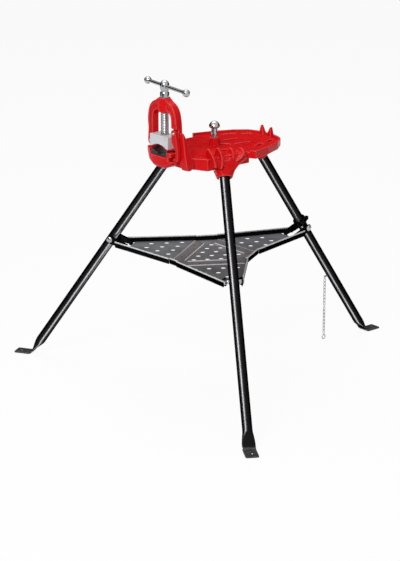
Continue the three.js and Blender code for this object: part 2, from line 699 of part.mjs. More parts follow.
// A wing of the tray: a tapering perforated sheet whose upturned rims run on past it to the leg.
function wing(leg) {
  const start = HINGE_REACH + HINGE_CLEARANCE;
  const bolt = legReach(leg, BOLT_HEIGHT);
  const end = bolt - WING_END;
  const rimEnd = bolt - RIM_END;
  const edgeAt = (side, x) => {
    const base = leg.halves[side < 0 ? 0 : 1];
    return side * (base + ((x - start) / (rimEnd - start)) * (RIM_TIP_HALF - base));
  };
  const sheet = outline([
    [start, edgeAt(-1, start)],
    [end, edgeAt(-1, end)],
    [end, edgeAt(1, end)],
    [start, edgeAt(1, start)],
  ]);
  const rim = (side) => slab(
    outline([
      [start + 1, edgeAt(side, start + 1)],
      [rimEnd, side * RIM_TIP_HALF],
      [rimEnd, side * (RIM_TIP_HALF - SHEET)],
      [start + 1, edgeAt(side, start + 1) - side * SHEET],
    ]),
    TRAY_TOP - SHEET,
    TRAY_TOP + RIM_HEIGHT,
  );
  const plate = join(slab(sheet, TRAY_TOP - SHEET, TRAY_TOP), rim(1), rim(-1));
  const inside = (x, y) => y > edgeAt(-1, x) + HOLE_MARGIN && y < edgeAt(1, x) - HOLE_MARGIN;
  const holes = perforations(inside, start + 34, bolt - 110, HOLE_PITCH);
  return turned(cut(plate, ...holes), leg.azimuth);
}

// Bracket under the wing's end: a plate with two arms that stand either side of the leg.
function wingBracket(leg) {
  const bolt = legReach(leg, BOLT_HEIGHT);
  const outer = ARM_INNER + ARM_THICKNESS;
  const high = TRAY_TOP - SHEET - GAP;
  const armStart = bolt - WING_END + 0.6;
  const base = box(bolt - 100, armStart + 12, -outer, outer, high - 3, high);
  const notch = box(bolt - 84, armStart + 30, -20, 20, high - 10, high + 10);
  const side = outline([
    [armStart, high - 3],
    [bolt - 14, high + 6],
    [bolt + 6, BOLT_HEIGHT - 12],
    [bolt + 13, BOLT_HEIGHT],
    [bolt + 6, BOLT_HEIGHT + 12],
    [bolt - 8, BOLT_HEIGHT + 12],
    [armStart, high + 14],
  ]);
  const arms = join(acrossY(side, ARM_INNER, outer), acrossY(side, -outer, -ARM_INNER));
  const hole = rod(BOLT_RADIUS + 1, [bolt, -40, BOLT_HEIGHT], [bolt, 40, BOLT_HEIGHT], 12);
  return turned(cut(join(cut(base, notch), arms), hole), leg.azimuth);
}

// Middle sheet: three fold lines and, across the corners between them, upturned lips.
function trayCentre() {
  const reach = HINGE_REACH - HINGE_CLEARANCE;
  const corners = [2, 0, 1].flatMap((index) => {
    const c = Math.cos(LEGS[index].azimuth);
    const s = Math.sin(LEGS[index].azimuth);
    const [right, left] = LEGS[index].halves;
    return [SHEET - right, left - SHEET].map((y) => [reach * c - y * s, reach * s + y * c]);
  });
  const lips = [1, 3, 5].map((index) => {
    const first = corners[index];
    const second = corners[(index + 1) % corners.length];
    const middle = Math.hypot((first[0] + second[0]) / 2, (first[1] + second[1]) / 2);
    const inset = 1 - SHEET / middle;
    const strip = [first, second, second.map((value) => value * inset), first.map((value) => value * inset)];
    return slab(outline(strip), TRAY_TOP - SHEET, TRAY_TOP + RIM_HEIGHT);
  });
  const open = HINGE_REACH - STRIP_WIDTH - 12;
  const inside = (x, y) => LEGS.every(({ azimuth }) => x * Math.cos(azimuth) + y * Math.sin(azimuth) < open);
  const sheet = slab(outline(corners), TRAY_TOP - SHEET, TRAY_TOP);
  return cut(join(sheet, ...lips), ...perforations(inside, -95, 60, 38));
}

// Hinge strip on the middle sheet, with the barrel on the fold line.
function hingeLeaf(leg) {
  const right = STRIP_INSET - leg.halves[0];
  const left = leg.halves[1] - STRIP_INSET;
  const middle = TRAY_TOP - SHEET / 2;
  const barrel = rod(HINGE_BARREL, [HINGE_REACH, right, middle], [HINGE_REACH, left, middle], 10);
  const leaf = outline([
    [HINGE_REACH - STRIP_WIDTH, right * STRIP_TAPER],
    [HINGE_REACH - 0.5, right],
    [HINGE_REACH - 0.5, left],
    [HINGE_REACH - STRIP_WIDTH, left * STRIP_TAPER],
  ]);
  return turned(join(slab(leaf, TRAY_TOP + GAP, TRAY_TOP + 1.4), barrel), leg.azimuth);
}

// Strap round the rear leg just above its tray bolt.
function rearStrap(leg) {
  const low = BOLT_HEIGHT + 16;
  const high = low + 14;
  const reach = (height) => [legReach(leg, height), 0, height];
  const bore = rod(TUBE_RADIUS + GAP, reach(low - 9), reach(high + 9), 20);
  const ear = hull([
    ...legRing(leg, low + 3, 14, 8),
    [legReach(leg, low) + 29, -6, low + 18],
    [legReach(leg, low) + 29, 6, low + 18],
    [legReach(leg, low) + 29, -6, low + 6],
    [legReach(leg, low) + 29, 6, low + 6],
  ]);
  return cut(join(rod(STRAP_RADIUS, reach(low), reach(high), 20), ear), bore);
}

// Chain on the rear leg: an eye under the tube, two lengths of links and a hook.
const REAR = LEGS[2];
const CHAIN_X = legReach(REAR, CHAIN_TOP) - 34;

// A chain link: a ring drawn out into two straight sides.
function link(x, z, upright) {
  const straight = (LINK_PITCH + 2 * LINK_WIRE - 0.6) / 2 - LINK_HALF_WIDTH;
  const ring = new THREE.TorusGeometry(LINK_HALF_WIDTH, LINK_WIRE, 6, 12).rotateX(Math.PI / 2);
  const points = ring.attributes.position;
  for (let index = 0; index < points.count; index += 1) {
    const height = points.getZ(index);
    const side = Math.abs(height) < 0.5 ? 0 : Math.sign(height);
    points.setZ(index, height + side * straight);
  }
  return solid(ring.rotateZ(upright ? 0 : Math.PI / 2).translate(x, 0, z));
}

function chainLength(top, count) {
  const links = Array.from({ length: count }, (_, index) => (
    link(CHAIN_X, top - (index + 0.5) * LINK_PITCH, index % 2 === 0)
  ));
  return join(...links);
}

function chainEye() {
  const foot = [legReach(REAR, CHAIN_TOP + 12) - 12, 0, CHAIN_TOP + 6];
  const stem = rod(3, foot, [CHAIN_X, 0, CHAIN_TOP + 3], 8);
  const tube = rod(TUBE_RADIUS + GAP, [legReach(REAR, 380), 0, 380], [legReach(REAR, 180), 0, 180], 24);
  return cut(join(stem, ball(4, CHAIN_X, 0, CHAIN_TOP + 3, 10)), tube);
}

LEGS.forEach((leg) => {
  place(`leg_${leg.name}`, legTube(leg), BLACK);
  place(`leg_pin_${leg.name}`, legPin(leg), STEEL);
  place(`tray_bolt_${leg.name}`, trayBolt(leg), STEEL);
  place(`tray_nut_${leg.name}`, trayNut(leg), STEEL);
  place(`tray_wing_${leg.name}`, wing(leg), TRAY_GREY);
  place(`wing_bracket_${leg.name}`, wingBracket(leg), BLACK);
  place(`tray_hinge_${leg.name}`, hingeLeaf(leg), TRAY_GREY);
});
place('tray_centre', trayCentre(), TRAY_GREY);
place('rear_strap', rearStrap(REAR), BLACK);
place('deck_casting', deckCasting(), RED);
place('yoke', yoke(), RED);
const hingePinEnds = [VISE_X - YOKE_HALF_THICKNESS - 2, VISE_X + 32];
const hingePin = hingePinEnds.map((x) => [x, HINGE_PIN_Y, HINGE_PIN_Z]);
place('yoke_hinge_pin', rod(6, ...hingePin, 16), STEEL);
place('latch', latch(), RED);
const latchPinEnds = [VISE_X - YOKE_HALF_THICKNESS - 6, VISE_X + YOKE_HALF_THICKNESS - 0.5];
const latchPin = latchPinEnds.map((x) => [x, LATCH_Y, LATCH_PIVOT_Z]);
place('latch_pin', rod(5, ...latchPin, 12), STEEL);
place('upper_jaw', upperJaw(), JAW_GREY);
place('lower_jaw', lowerJaw(), DARK_STEEL);
place('lower_jaw_screw', lowerJawScrew(), STEEL);
place('vise_screw', viseScrew(), STEEL);
place('handle_bar', handleBar(), STEEL);
place('handle_ball_left', handleBall(1), STEEL);
place('handle_ball_right', handleBall(-1), STEEL);
place('brace_cap', braceCap(), STEEL);
place('brace_screw', braceScrew(), STEEL);
place('chain_eye', chainEye(), ZINC);
const UPPER_START = CHAIN_TOP - 4.5;
const LOWER_START = UPPER_START - LINKS_PER_LENGTH * LINK_PITCH - 6;
const HOOK_MIDDLE = LOWER_START - LINKS_PER_LENGTH * LINK_PITCH - 12.5;
place('chain_upper', chainLength(UPPER_START, LINKS_PER_LENGTH), ZINC);
place('chain_lower', chainLength(LOWER_START, LINKS_PER_LENGTH), ZINC);
const hookRing = new THREE.TorusGeometry(7, 1.8, 6, 12).rotateX(Math.PI / 2).rotateY(Math.PI / 2);
place('chain_hook', solid(hookRing.translate(CHAIN_X, 0, HOOK_MIDDLE)), ZINC);

// The origin is at the middle of the footprint, on the floor.
const footprint = new THREE.Box3().setFromObject(stand);
stand.position.x = -(footprint.min.x + footprint.max.x) / 2;

export default stand;
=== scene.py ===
import math

import bmesh
import bpy
from mathutils import Matrix, Vector


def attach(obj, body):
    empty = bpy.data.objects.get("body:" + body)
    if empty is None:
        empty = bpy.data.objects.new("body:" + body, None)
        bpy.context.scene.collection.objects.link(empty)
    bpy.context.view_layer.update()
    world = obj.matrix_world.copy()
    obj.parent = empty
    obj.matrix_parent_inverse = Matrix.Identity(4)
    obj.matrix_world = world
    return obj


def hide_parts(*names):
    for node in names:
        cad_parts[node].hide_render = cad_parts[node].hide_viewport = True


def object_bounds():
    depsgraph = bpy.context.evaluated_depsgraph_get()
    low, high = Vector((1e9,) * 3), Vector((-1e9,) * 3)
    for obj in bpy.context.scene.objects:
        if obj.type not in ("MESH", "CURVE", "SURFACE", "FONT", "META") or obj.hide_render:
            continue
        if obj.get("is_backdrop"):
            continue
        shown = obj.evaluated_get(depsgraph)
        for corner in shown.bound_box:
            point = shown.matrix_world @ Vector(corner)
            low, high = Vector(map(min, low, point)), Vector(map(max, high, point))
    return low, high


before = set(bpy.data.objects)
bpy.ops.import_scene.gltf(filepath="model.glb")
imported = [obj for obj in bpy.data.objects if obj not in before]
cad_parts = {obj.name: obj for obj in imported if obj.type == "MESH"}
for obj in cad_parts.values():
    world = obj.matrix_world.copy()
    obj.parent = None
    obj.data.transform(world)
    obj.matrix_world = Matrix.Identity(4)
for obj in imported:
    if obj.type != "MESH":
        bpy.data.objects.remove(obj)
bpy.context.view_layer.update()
SCENE = bpy.context.scene

# Studio: a wide pale floor, a large soft box left of the camera, a weak fill right of it and a box
# overhead. Long lamps that only the leg tubes mirror stand round it, two of them below the floor, so
# the floor is hidden from mirrors. Dark cards round the room show in shiny metal alone.
SCENE.view_settings.view_transform = "Standard"
YAW, PITCH = 0.696, 0.313
CAMERA_PLACE = (-4.2035, -4.7398, 2.3398)
LENS = 128.34
SENSOR_WIDTH = 36.0
DECK_AIM = (-0.1, 0.0, 0.6)

lens = bpy.data.cameras.new("photo_lens")
lens.lens = LENS
lens.sensor_width = SENSOR_WIDTH
camera = bpy.data.objects.new("photo_camera", lens)
camera.location = CAMERA_PLACE
camera.rotation_euler = (math.pi / 2 - PITCH, 0.0, -YAW)
SCENE.collection.objects.link(camera)
SCENE.camera = camera


def soft_box(name, place, aim, width, height, watts):
    lamp = bpy.data.lights.new(name, "AREA")
    lamp.shape = "RECTANGLE"
    lamp.size = width
    lamp.size_y = height
    lamp.energy = watts
    box = bpy.data.objects.new(name, lamp)
    box.location = place
    box.rotation_euler = (Vector(aim) - Vector(place)).to_track_quat("-Z", "Y").to_euler()
    SCENE.collection.objects.link(box)
    return box


soft_box("key_box", (-3.2, -1.6, 3.4), DECK_AIM, width=1.8, height=1.8, watts=112.0)
soft_box("fill_box", (2.6, -3.2, 2.2), (0.0, 0.0, 0.5), width=2.4, height=2.4, watts=9.0)
soft_box("top_box", (0.4, 1.2, 4.0), DECK_AIM, width=2.4, height=2.4, watts=60.0)
leg_tubes = bpy.data.collections.new("leg_tubes")


def streak_box(name, low, high, aim, width, watts):
    """A long lamp between two points that only the leg tubes mirror."""
    low, high = Vector(low), Vector(high)
    place = (low + high) / 2
    back = (place - Vector(aim)).normalized()
    along = (high - low - back * (high - low).dot(back)).normalized()
    strip = soft_box(name, place, aim, width, (high - low).length, watts)
    strip.rotation_euler = Matrix((along.cross(back), along, back)).transposed().to_euler()
    strip.visible_camera = strip.visible_diffuse = False
    strip.light_linking.receiver_collection = leg_tubes
    strip.light_linking.blocker_collection = leg_tubes


streak_box("left_streak", (-1.25, -0.03, -0.94), (-0.94, -0.66, 0.0),
           aim=(-0.39, 0.35, 0.37), width=0.44, watts=160.0)
streak_box("near_streak", (-1.62, -0.65, 0.68), (-1.21, -0.06, 1.65),
           aim=(-0.39, -0.35, 0.37), width=0.44, watts=230.0)
streak_box("rear_streak", (0.33, -0.51, -1.22), (-0.38, -0.56, -0.33),
           aim=(0.26, 0.0, 0.37), width=0.40, watts=130.0)


def seen_directly(tree):
    """1 where a ray comes straight from the camera, a mirror or glass."""
    path = tree.nodes.new("ShaderNodeLightPath")
    seen = path.outputs["Is Camera Ray"]
    for ray in ("Is Glossy Ray", "Is Transmission Ray"):
        either = tree.nodes.new("ShaderNodeMath")
        either.operation = "MAXIMUM"
        tree.links.new(seen, either.inputs[0])
        tree.links.new(path.outputs[ray], either.inputs[1])
        seen = either.outputs[0]
    return seen


# Sockets of a colour mix, by their place on the node.
MIX_SHARE, MIX_FIRST, MIX_SECOND, MIX_COLOUR = 0, 6, 7, 2
ROOM_GREY = (0.25, 0.25, 0.26, 1.0)
WHITE = (1.0, 1.0, 1.0, 1.0)
world = bpy.data.worlds.new("white_room")
SCENE.world = world
world.use_nodes = True
sky = world.node_tree
sky_shade = sky.nodes.new("ShaderNodeMix")
sky_shade.data_type = "RGBA"
sky_shade.inputs[MIX_FIRST].default_value = ROOM_GREY
sky_shade.inputs[MIX_SECOND].default_value = WHITE
sky.links.new(seen_directly(sky), sky_shade.inputs[MIX_SHARE])
sky.links.new(sky_shade.outputs[MIX_COLOUR], sky.nodes["Background"].inputs["Color"])

FLOOR_HALF = 30.0
FLOOR_DROP = 0.0004
PAPER_COLOUR = (0.9, 0.9, 0.9, 1.0)
PAPER_GLOW = 0.93
floor_corners = ((-FLOOR_HALF, -FLOOR_HALF), (FLOOR_HALF, -FLOOR_HALF),
                 (FLOOR_HALF, FLOOR_HALF), (-FLOOR_HALF, FLOOR_HALF))
floor_mesh = bpy.data.meshes.new("floor")
floor_mesh.from_pydata([(x, y, -FLOOR_DROP) for x, y in floor_corners], [], [(0, 1, 2, 3)])
floor = bpy.data.objects.new("floor", floor_mesh)
floor.visible_glossy = False
SCENE.collection.objects.link(floor)
floor_paper = bpy.data.materials.new("floor_paper")
floor_paper.use_nodes = True
paper = floor_paper.node_tree
paper_matt = paper.nodes["Principled BSDF"]
paper_matt.inputs["Base Color"].default_value = PAPER_COLOUR
paper_matt.inputs["Roughness"].default_value = 1.0
paper_matt.inputs["Specular IOR Level"].default_value = 0.0
paper_glow = paper.nodes.new("ShaderNodeEmission")
paper_share = paper.nodes.new("ShaderNodeMath")
paper_share.operation = "MULTIPLY"
paper_share.inputs[1].default_value = PAPER_GLOW
paper.links.new(seen_directly(paper), paper_share.inputs[0])
paper_mix = paper.nodes.new("ShaderNodeMixShader")
paper.links.new(paper_share.outputs[0], paper_mix.inputs[0])
paper.links.new(paper_matt.outputs[0], paper_mix.inputs[1])
paper.links.new(paper_glow.outputs[0], paper_mix.inputs[2])
paper.links.new(paper_mix.outputs[0], paper.nodes["Material Output"].inputs["Surface"])
floor_mesh.materials.append(floor_paper)
floor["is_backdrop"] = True

CARD_DISTANCE = 5.4
CARD_FOOT, CARD_TOP = 0.02, 4.2
CARD_ARCS = ((-64, 152), (168, 208))
CARD_STEP = 2
CARD_COLOUR = (0.01, 0.01, 0.01, 1.0)
card_black = bpy.data.materials.new("card_black")
card_black.use_nodes = True
card_shader = card_black.node_tree.nodes["Principled BSDF"]
card_shader.inputs["Base Color"].default_value = CARD_COLOUR
card_shader.inputs["Specular IOR Level"].default_value = 0.0
for number, (first, last) in enumerate(CARD_ARCS):
    corners = [(math.cos(math.radians(a)) * CARD_DISTANCE, math.sin(math.radians(a)) * CARD_DISTANCE)
               for a in range(first, last + 1, CARD_STEP)]
    count = len(corners)
    card_mesh = bpy.data.meshes.new(f"dark_card_{number}")
    card_mesh.from_pydata(
        [(x, y, CARD_FOOT) for x, y in corners] + [(x, y, CARD_TOP) for x, y in corners], [],
        [(i, i + 1, count + i + 1, count + i) for i in range(count - 1)])
    card_mesh.materials.append(card_black)
    card = bpy.data.objects.new(f"dark_card_{number}", card_mesh)
    card.visible_camera = card.visible_diffuse = card.visible_shadow = False
    SCENE.collection.objects.link(card)
    card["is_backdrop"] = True

# Legs: three lengths of 1 1/4 inch steel tube in gloss black enamel. The lower end of each is
# pressed flat, bent out along the floor and drilled; the upper end turns on a pin under the deck.
MM = 0.001
AXIS_X = -174.712
TUBE_RADIUS = 15.875
LEAN = math.atan(0.685)
PIVOT_HEIGHT = 742.0
TUBE_ABOVE_PIVOT = 9.0
LEG_SPREAD = math.radians(121.6)
FRONT_PIVOT, REAR_PIVOT = 153.6, 176.6
LEGS = {"left": (LEG_SPREAD, FRONT_PIVOT), "near": (-LEG_SPREAD, FRONT_PIVOT), "rear": (0.0, REAR_PIVOT)}
TUBE_SECTIONS = 14
PRESS_LENGTH, PRESS_RUN = 60.0, 46.0
PRESS_LEAD, PRESS_STEP, PRESS_SECTIONS = 63.0, 2.5, 22
ROUND, OBLONG = 2.0, 7.0
BEND = 16.0
BEND_STEPS = 8
BEND_MARGIN = 1.0
FOOT_HALF = 21.0
FOOT_THICK = 6.0
FOOT_EASE = 0.02
FOOT_REACH = 58.0
FOOT_HOLE = 38.0
FOOT_DRILL = 6.5
DRILL_LOW, DRILL_HIGH = -9.0, 20.0
# Distance along the foot, and how much narrower than FOOT_HALF it is there.
FOOT_SECTIONS = ((22.0, 0.0), (40.0, 0.0), (FOOT_REACH - 1.4, 0.0),
                 (FOOT_REACH - 0.4, 0.5), (FOOT_REACH, 1.2))
WORN_BELOW, PAINTED_ABOVE = 0.0070, 0.0090


def noise(tree, coords, scale, detail=3.0):
    node = tree.nodes.new("ShaderNodeTexNoise")
    node.inputs["Scale"].default_value = scale
    node.inputs["Detail"].default_value = detail
    tree.links.new(coords, node.inputs["Vector"])
    return node.outputs["Fac"]


def ramp(tree, value, *stops):
    """A colour ramp whose stops are (position, colour)."""
    node = tree.nodes.new("ShaderNodeValToRGB")
    strip = node.color_ramp.elements
    while len(strip) < len(stops):
        strip.new(0.5)
    for stop, (position, colour) in zip(strip, stops):
        stop.position = position
        stop.color = (*colour, 1.0)
    tree.links.new(value, node.inputs["Fac"])
    return node.outputs["Color"]


def blend_colours(tree, share, first, second):
    node = tree.nodes.new("ShaderNodeMix")
    node.data_type = "RGBA"
    tree.links.new(share, node.inputs[MIX_SHARE])
    tree.links.new(first, node.inputs[MIX_FIRST])
    tree.links.new(second, node.inputs[MIX_SECOND])
    return node.outputs[MIX_COLOUR]


def relief(tree, shader, height, strength, depth):
    node = tree.nodes.new("ShaderNodeBump")
    node.inputs["Strength"].default_value = strength
    node.inputs["Distance"].default_value = depth
    tree.links.new(height, node.inputs["Height"])
    tree.links.new(node.outputs["Normal"], shader.inputs["Normal"])


def new_finish(name, metallic, specular):
    finish = bpy.data.materials.new(name)
    finish.use_nodes = True
    tree = finish.node_tree
    shader = tree.nodes["Principled BSDF"]
    shader.inputs["Metallic"].default_value = metallic
    shader.inputs["Specular IOR Level"].default_value = specular
    coords = tree.nodes.new("ShaderNodeTexCoord").outputs["Object"]
    return finish, tree, shader, coords


def grey(level):
    return (level, level, level)


def black_enamel():
    """Dark gloss whose mirror stays dim at grazing angles, worn to a dull grey on the flat feet."""
    finish, tree, shader, coords = new_finish("black_enamel", 1.0, 0.5)
    shader.inputs["Specular Tint"].default_value = (0.06, 0.06, 0.06, 1.0)
    drift = noise(tree, coords, 14.0)
    colour = ramp(tree, drift, (0.3, (0.0070, 0.0070, 0.0074)), (0.7, (0.0092, 0.0092, 0.0097)))
    split = tree.nodes.new("ShaderNodeSeparateXYZ")
    tree.links.new(coords, split.inputs["Vector"])
    painted = ramp(tree, split.outputs["Z"], (WORN_BELOW, grey(0.0)), (PAINTED_ABOVE, grey(1.0)))
    scuffed = ramp(tree, noise(tree, coords, 90.0), (0.3, grey(0.05)), (0.7, grey(0.11)))
    tree.links.new(blend_colours(tree, painted, scuffed, colour), shader.inputs["Base Color"])
    tree.links.new(painted, shader.inputs["Metallic"])
    sheen = ramp(tree, noise(tree, coords, 60.0), (0.3, grey(0.25)), (0.75, grey(0.30)))
    tree.links.new(sheen, shader.inputs["Roughness"])
    relief(tree, shader, noise(tree, coords, 180.0), 0.015, 0.0003)
    return finish


def new_piece(name, points, faces, sharp=35.0):
    """A mesh whose points are in millimetres about the stand's upright axis."""
    mesh = bpy.data.meshes.new(name)
    mesh.from_pydata([((x + AXIS_X) * MM, y * MM, z * MM) for x, y, z in points], [], faces)
    piece = bpy.data.objects.new(name, mesh)
    SCENE.collection.objects.link(piece)
    tidy_faces(piece, sharp)
    return piece


def tidy_faces(piece, sharp):
    """Faces turned outwards, smooth shading with edges sharper than an angle kept crisp."""
    work = bmesh.new()
    work.from_mesh(piece.data)
    bmesh.ops.recalc_face_normals(work, faces=work.faces)
    for face in work.faces:
        face.smooth = True
    for edge in work.edges:
        edge.smooth = edge.calc_face_angle(0.0) < math.radians(sharp)
    work.to_mesh(piece.data)
    work.free()


def skin(rings):
    """Points and faces of a tube through rings with the same number of points, closed at both ends."""
    count = len(rings[0])
    points = [point for ring in rings for point in ring]
    faces = []
    for row in range(len(rings) - 1):
        for index in range(count):
            after = (index + 1) % count
            faces.append((row * count + index, row * count + after,
                          (row + 1) * count + after, (row + 1) * count + index))
    faces.append(tuple(reversed(range(count))))
    faces.append(tuple(range((len(rings) - 1) * count, len(rings) * count)))
    return points, faces


def turned(points, azimuth):
    """Points drawn along +X, turned about the stand's upright axis."""
    c, s = math.cos(azimuth), math.sin(azimuth)
    return [(x * c - y * s, x * s + y * c, z) for x, y, z in points]


def apply_shape(piece):
    """Keeps what the modifiers make as the piece's own mesh."""
    seen = piece.evaluated_get(bpy.context.evaluated_depsgraph_get())
    made = bpy.data.meshes.new_from_object(seen)
    piece.modifiers.clear()
    piece.data = made


def drill(piece, cutter, sharp=35.0):
    hole = piece.modifiers.new("drill", "BOOLEAN")
    hole.operation = "DIFFERENCE"
    hole.solver = "EXACT"
    hole.object = cutter
    bpy.context.view_layer.update()
    apply_shape(piece)
    bpy.data.objects.remove(cutter)
    tidy_faces(piece, sharp)


def dress(piece, body, slot, finish, *nodes):
    piece.data.materials.clear()
    piece.data.materials.append(finish)
    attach(piece, body)
    if nodes:
        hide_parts(*nodes)


def smooth_step(t):
    t = min(1.0, max(0.0, t))
    return t * t * (3.0 - 2.0 * t)


def oval(half_width, half_thick, square, count=48):
    """A ring from round (2) towards a rounded oblong (higher)."""
    ring = []
    for index in range(count):
        angle = 2 * math.pi * index / count
        c, s = math.cos(angle), math.sin(angle)
        ring.append((math.copysign(abs(c) ** (2 / square), c) * half_thick,
                     math.copysign(abs(s) ** (2 / square), s) * half_width))
    return ring


def leg_reach(name, height):
    return LEGS[name][1] + (PIVOT_HEIGHT - height) * math.tan(LEAN)


def leg_rings(name):
    """Sections down the tube, through the pressed end and along the foot."""
    corner = leg_reach(name, FOOT_THICK / 2)
    down = (math.sin(LEAN), -math.cos(LEAN))
    turn = math.pi / 2 - LEAN
    lead = BEND * math.tan(turn / 2)
    length = (PIVOT_HEIGHT + TUBE_ABOVE_PIVOT * math.cos(LEAN) - FOOT_THICK / 2) / math.cos(LEAN)
    rings = []

    def section(x, z, tilt, wide, thick, square):
        out = (math.cos(tilt), math.sin(tilt))
        rings.append([(x + u * out[0], v, z + u * out[1]) for u, v in oval(wide, thick, square)])

    stations = [length * i / TUBE_SECTIONS for i in range(TUBE_SECTIONS)]
    stations += [length - PRESS_LEAD + step * PRESS_STEP for step in range(PRESS_SECTIONS)]
    for run in sorted(s for s in stations if s < length - lead - BEND_MARGIN):
        left = length - run
        flat = smooth_step((PRESS_LENGTH - left) / PRESS_RUN)
        section(corner + (run - length) * down[0], FOOT_THICK / 2 + (run - length) * down[1], LEAN,
                TUBE_RADIUS + (FOOT_HALF - TUBE_RADIUS) * flat,
                TUBE_RADIUS + (FOOT_THICK / 2 - TUBE_RADIUS) * flat, ROUND + (OBLONG - ROUND) * flat)
    centre = (corner + lead, FOOT_THICK / 2 + BEND)
    for step in range(BEND_STEPS + 1):
        tilt = LEAN + turn * step / BEND_STEPS
        section(centre[0] - BEND * math.cos(tilt), centre[1] - BEND * math.sin(tilt), tilt,
                FOOT_HALF, FOOT_THICK / 2, OBLONG)
    for reach, narrower in FOOT_SECTIONS:
        section(corner + reach, FOOT_THICK / 2, math.pi / 2,
                FOOT_HALF - narrower, FOOT_THICK / 2 - FOOT_EASE, OBLONG)
    return rings


def ring_about(spot, turn, radius, count):
    """Points round an axis. The radius may be a function of the angle, as on a hexagon."""
    ring = []
    for index in range(count):
        angle = 2 * math.pi * index / count
        size = radius(angle) if callable(radius) else radius
        ring.append(tuple(spot + turn @ Vector((size * math.cos(angle), size * math.sin(angle), 0))))
    return ring


def round_bar(name, radius, start, end, count=48):
    """A plain round cutter between two points."""
    turn = (Vector(end) - Vector(start)).to_track_quat("Z", "Y").to_matrix()
    return new_piece(name, *skin([ring_about(Vector(spot), turn, radius, count) for spot in (start, end)]))


BLACK = black_enamel()
for leg, (azimuth, _) in LEGS.items():
    points, faces = skin(leg_rings(leg))
    tube = new_piece(f"{leg}_leg", turned(points, azimuth), faces)
    hole_reach = leg_reach(leg, FOOT_THICK / 2) + FOOT_HOLE
    ends = turned([(hole_reach, 0, DRILL_LOW), (hole_reach, 0, DRILL_HIGH)], azimuth)
    drill(tube, round_bar("foot_drill", FOOT_DRILL, *ends))
    dress(tube, f"leg_{leg}", "black_paint", BLACK, f"leg_{leg}")
    leg_tubes.objects.link(tube)

# Deck: one grey-iron casting with a vise bowl in front, three leg sockets below, bender fingers
# on the near edge and a pipe rest at the rear, sand cast, ground and sprayed in gloss red enamel.
WELD_DISTANCE = 1e-6


def red_enamel():
    """Gloss red, with painted shade darkening its hollows and a painted highlight paling its edges."""
    finish, tree, shader, coords = new_finish("red_enamel", 0.0, 0.12)
    drift = noise(tree, coords, 9.0)
    coat = ramp(tree, drift, (0.3, (0.60, 0.0035, 0.0055)), (0.7, (0.72, 0.0055, 0.0080)))
    # Painted shade: pointiness darkens the red in hollows; painted highlight: it pales the red on edges.
    bend = tree.nodes.new("ShaderNodeNewGeometry").outputs["Pointiness"]
    painted_shade_red = ramp(tree, drift, (0.0, (0.11, 0.0006, 0.0010)), (1.0, (0.17, 0.0010, 0.0016)))
    painted_shade_mask = ramp(tree, bend, (0.43, grey(0.95)), (0.495, grey(0.0)))
    # Painted highlight: a paler pink-red laid on sharp edges.
    painted_highlight_red = ramp(tree, drift, (0.0, (0.90, 0.12, 0.115)), (1.0, (0.95, 0.19, 0.18)))
    edge = ramp(tree, bend, (0.507, grey(0.0)), (0.57, grey(0.85)))
    coat_with_painted_shade = blend_colours(tree, painted_shade_mask, coat, painted_shade_red)
    tree.links.new(blend_colours(tree, edge, coat_with_painted_shade, painted_highlight_red), shader.inputs["Base Color"])
    sheen = ramp(tree, noise(tree, coords, 45.0), (0.3, grey(0.24)), (0.75, grey(0.36)))
    tree.links.new(sheen, shader.inputs["Roughness"])
    relief(tree, shader, noise(tree, coords, 330.0, 4.0), 0.08, 0.0005)
    return finish


def solid_copy(node, name, flat_angle=None):
    """A copy of the solid with its corners welded and, given an angle, its flat faces made whole."""
    body = bpy.data.objects.new(name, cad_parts[node].data.copy())
    SCENE.collection.objects.link(body)
    work = bmesh.new()
    work.from_mesh(body.data)
    bmesh.ops.remove_doubles(work, verts=work.verts, dist=WELD_DISTANCE)
    if flat_angle is not None:
        bmesh.ops.dissolve_limit(work, angle_limit=flat_angle, verts=work.verts, edges=work.edges)
    work.to_mesh(body.data)
    work.free()
    return body


def cast_from(node, name, grain, passes):
    """A casting with rounded edges and fillets, grown from the solid of the same piece."""
    body = solid_copy(node, name)
    grown = body.modifiers.new("grown", "REMESH")
    grown.mode = "VOXEL"
    grown.voxel_size = grain
    fettled = body.modifiers.new("fettled", "SMOOTH")
    fettled.factor = 0.5
    fettled.iterations = passes
    bpy.context.view_layer.update()
    apply_shape(body)
    for face in body.data.polygons:
        face.use_smooth = True
    return body


RED = red_enamel()
deck = cast_from("deck_casting", "deck", grain=0.0013, passes=6)
dress(deck, "base", "red_paint", RED, "deck_casting")

# Leg pins: three turned steel pins through the socket cheeks, chamfered at both ends, which the
# tops of the legs fold on.
PIN_RADIUS = 6.0
PIN_HALF = 32.0
PIN_CHAMFER = 1.2
PIN_CORE = 3.0


def turned_bar(name, profile, start, end, count=48, sharp=30.0):
    """A lathe-turned piece: (distance from start, radius) pairs along an axis."""
    axis = (Vector(end) - Vector(start)).normalized()
    turn = axis.to_track_quat("Z", "Y").to_matrix()
    rings = [ring_about(Vector(start) + axis * along, turn, radius, count) for along, radius in profile]
    return new_piece(name, *skin(rings), sharp=sharp)


def pin_profile(length, radius, chamfer_run, chamfer_drop, core):
    """A round pin with both ends broken, drawn from a small core outwards."""
    return [(0, core), (0, radius - chamfer_drop), (chamfer_run, radius),
            (length - chamfer_run, radius), (length, radius - chamfer_drop), (length, core)]


def bright_steel():
    finish, tree, shader, coords = new_finish("bright_steel", 1.0, 0.5)
    cloud = noise(tree, coords, 30.0)
    colour = ramp(tree, cloud, (0.25, (0.34, 0.35, 0.36)), (0.8, (0.52, 0.53, 0.54)))
    tree.links.new(colour, shader.inputs["Base Color"])
    sheen = ramp(tree, noise(tree, coords, 160.0), (0.3, grey(0.10)), (0.8, grey(0.24)))
    tree.links.new(sheen, shader.inputs["Roughness"])
    relief(tree, shader, noise(tree, coords, 700.0, 2.0), 0.06, 0.0003)
    return finish


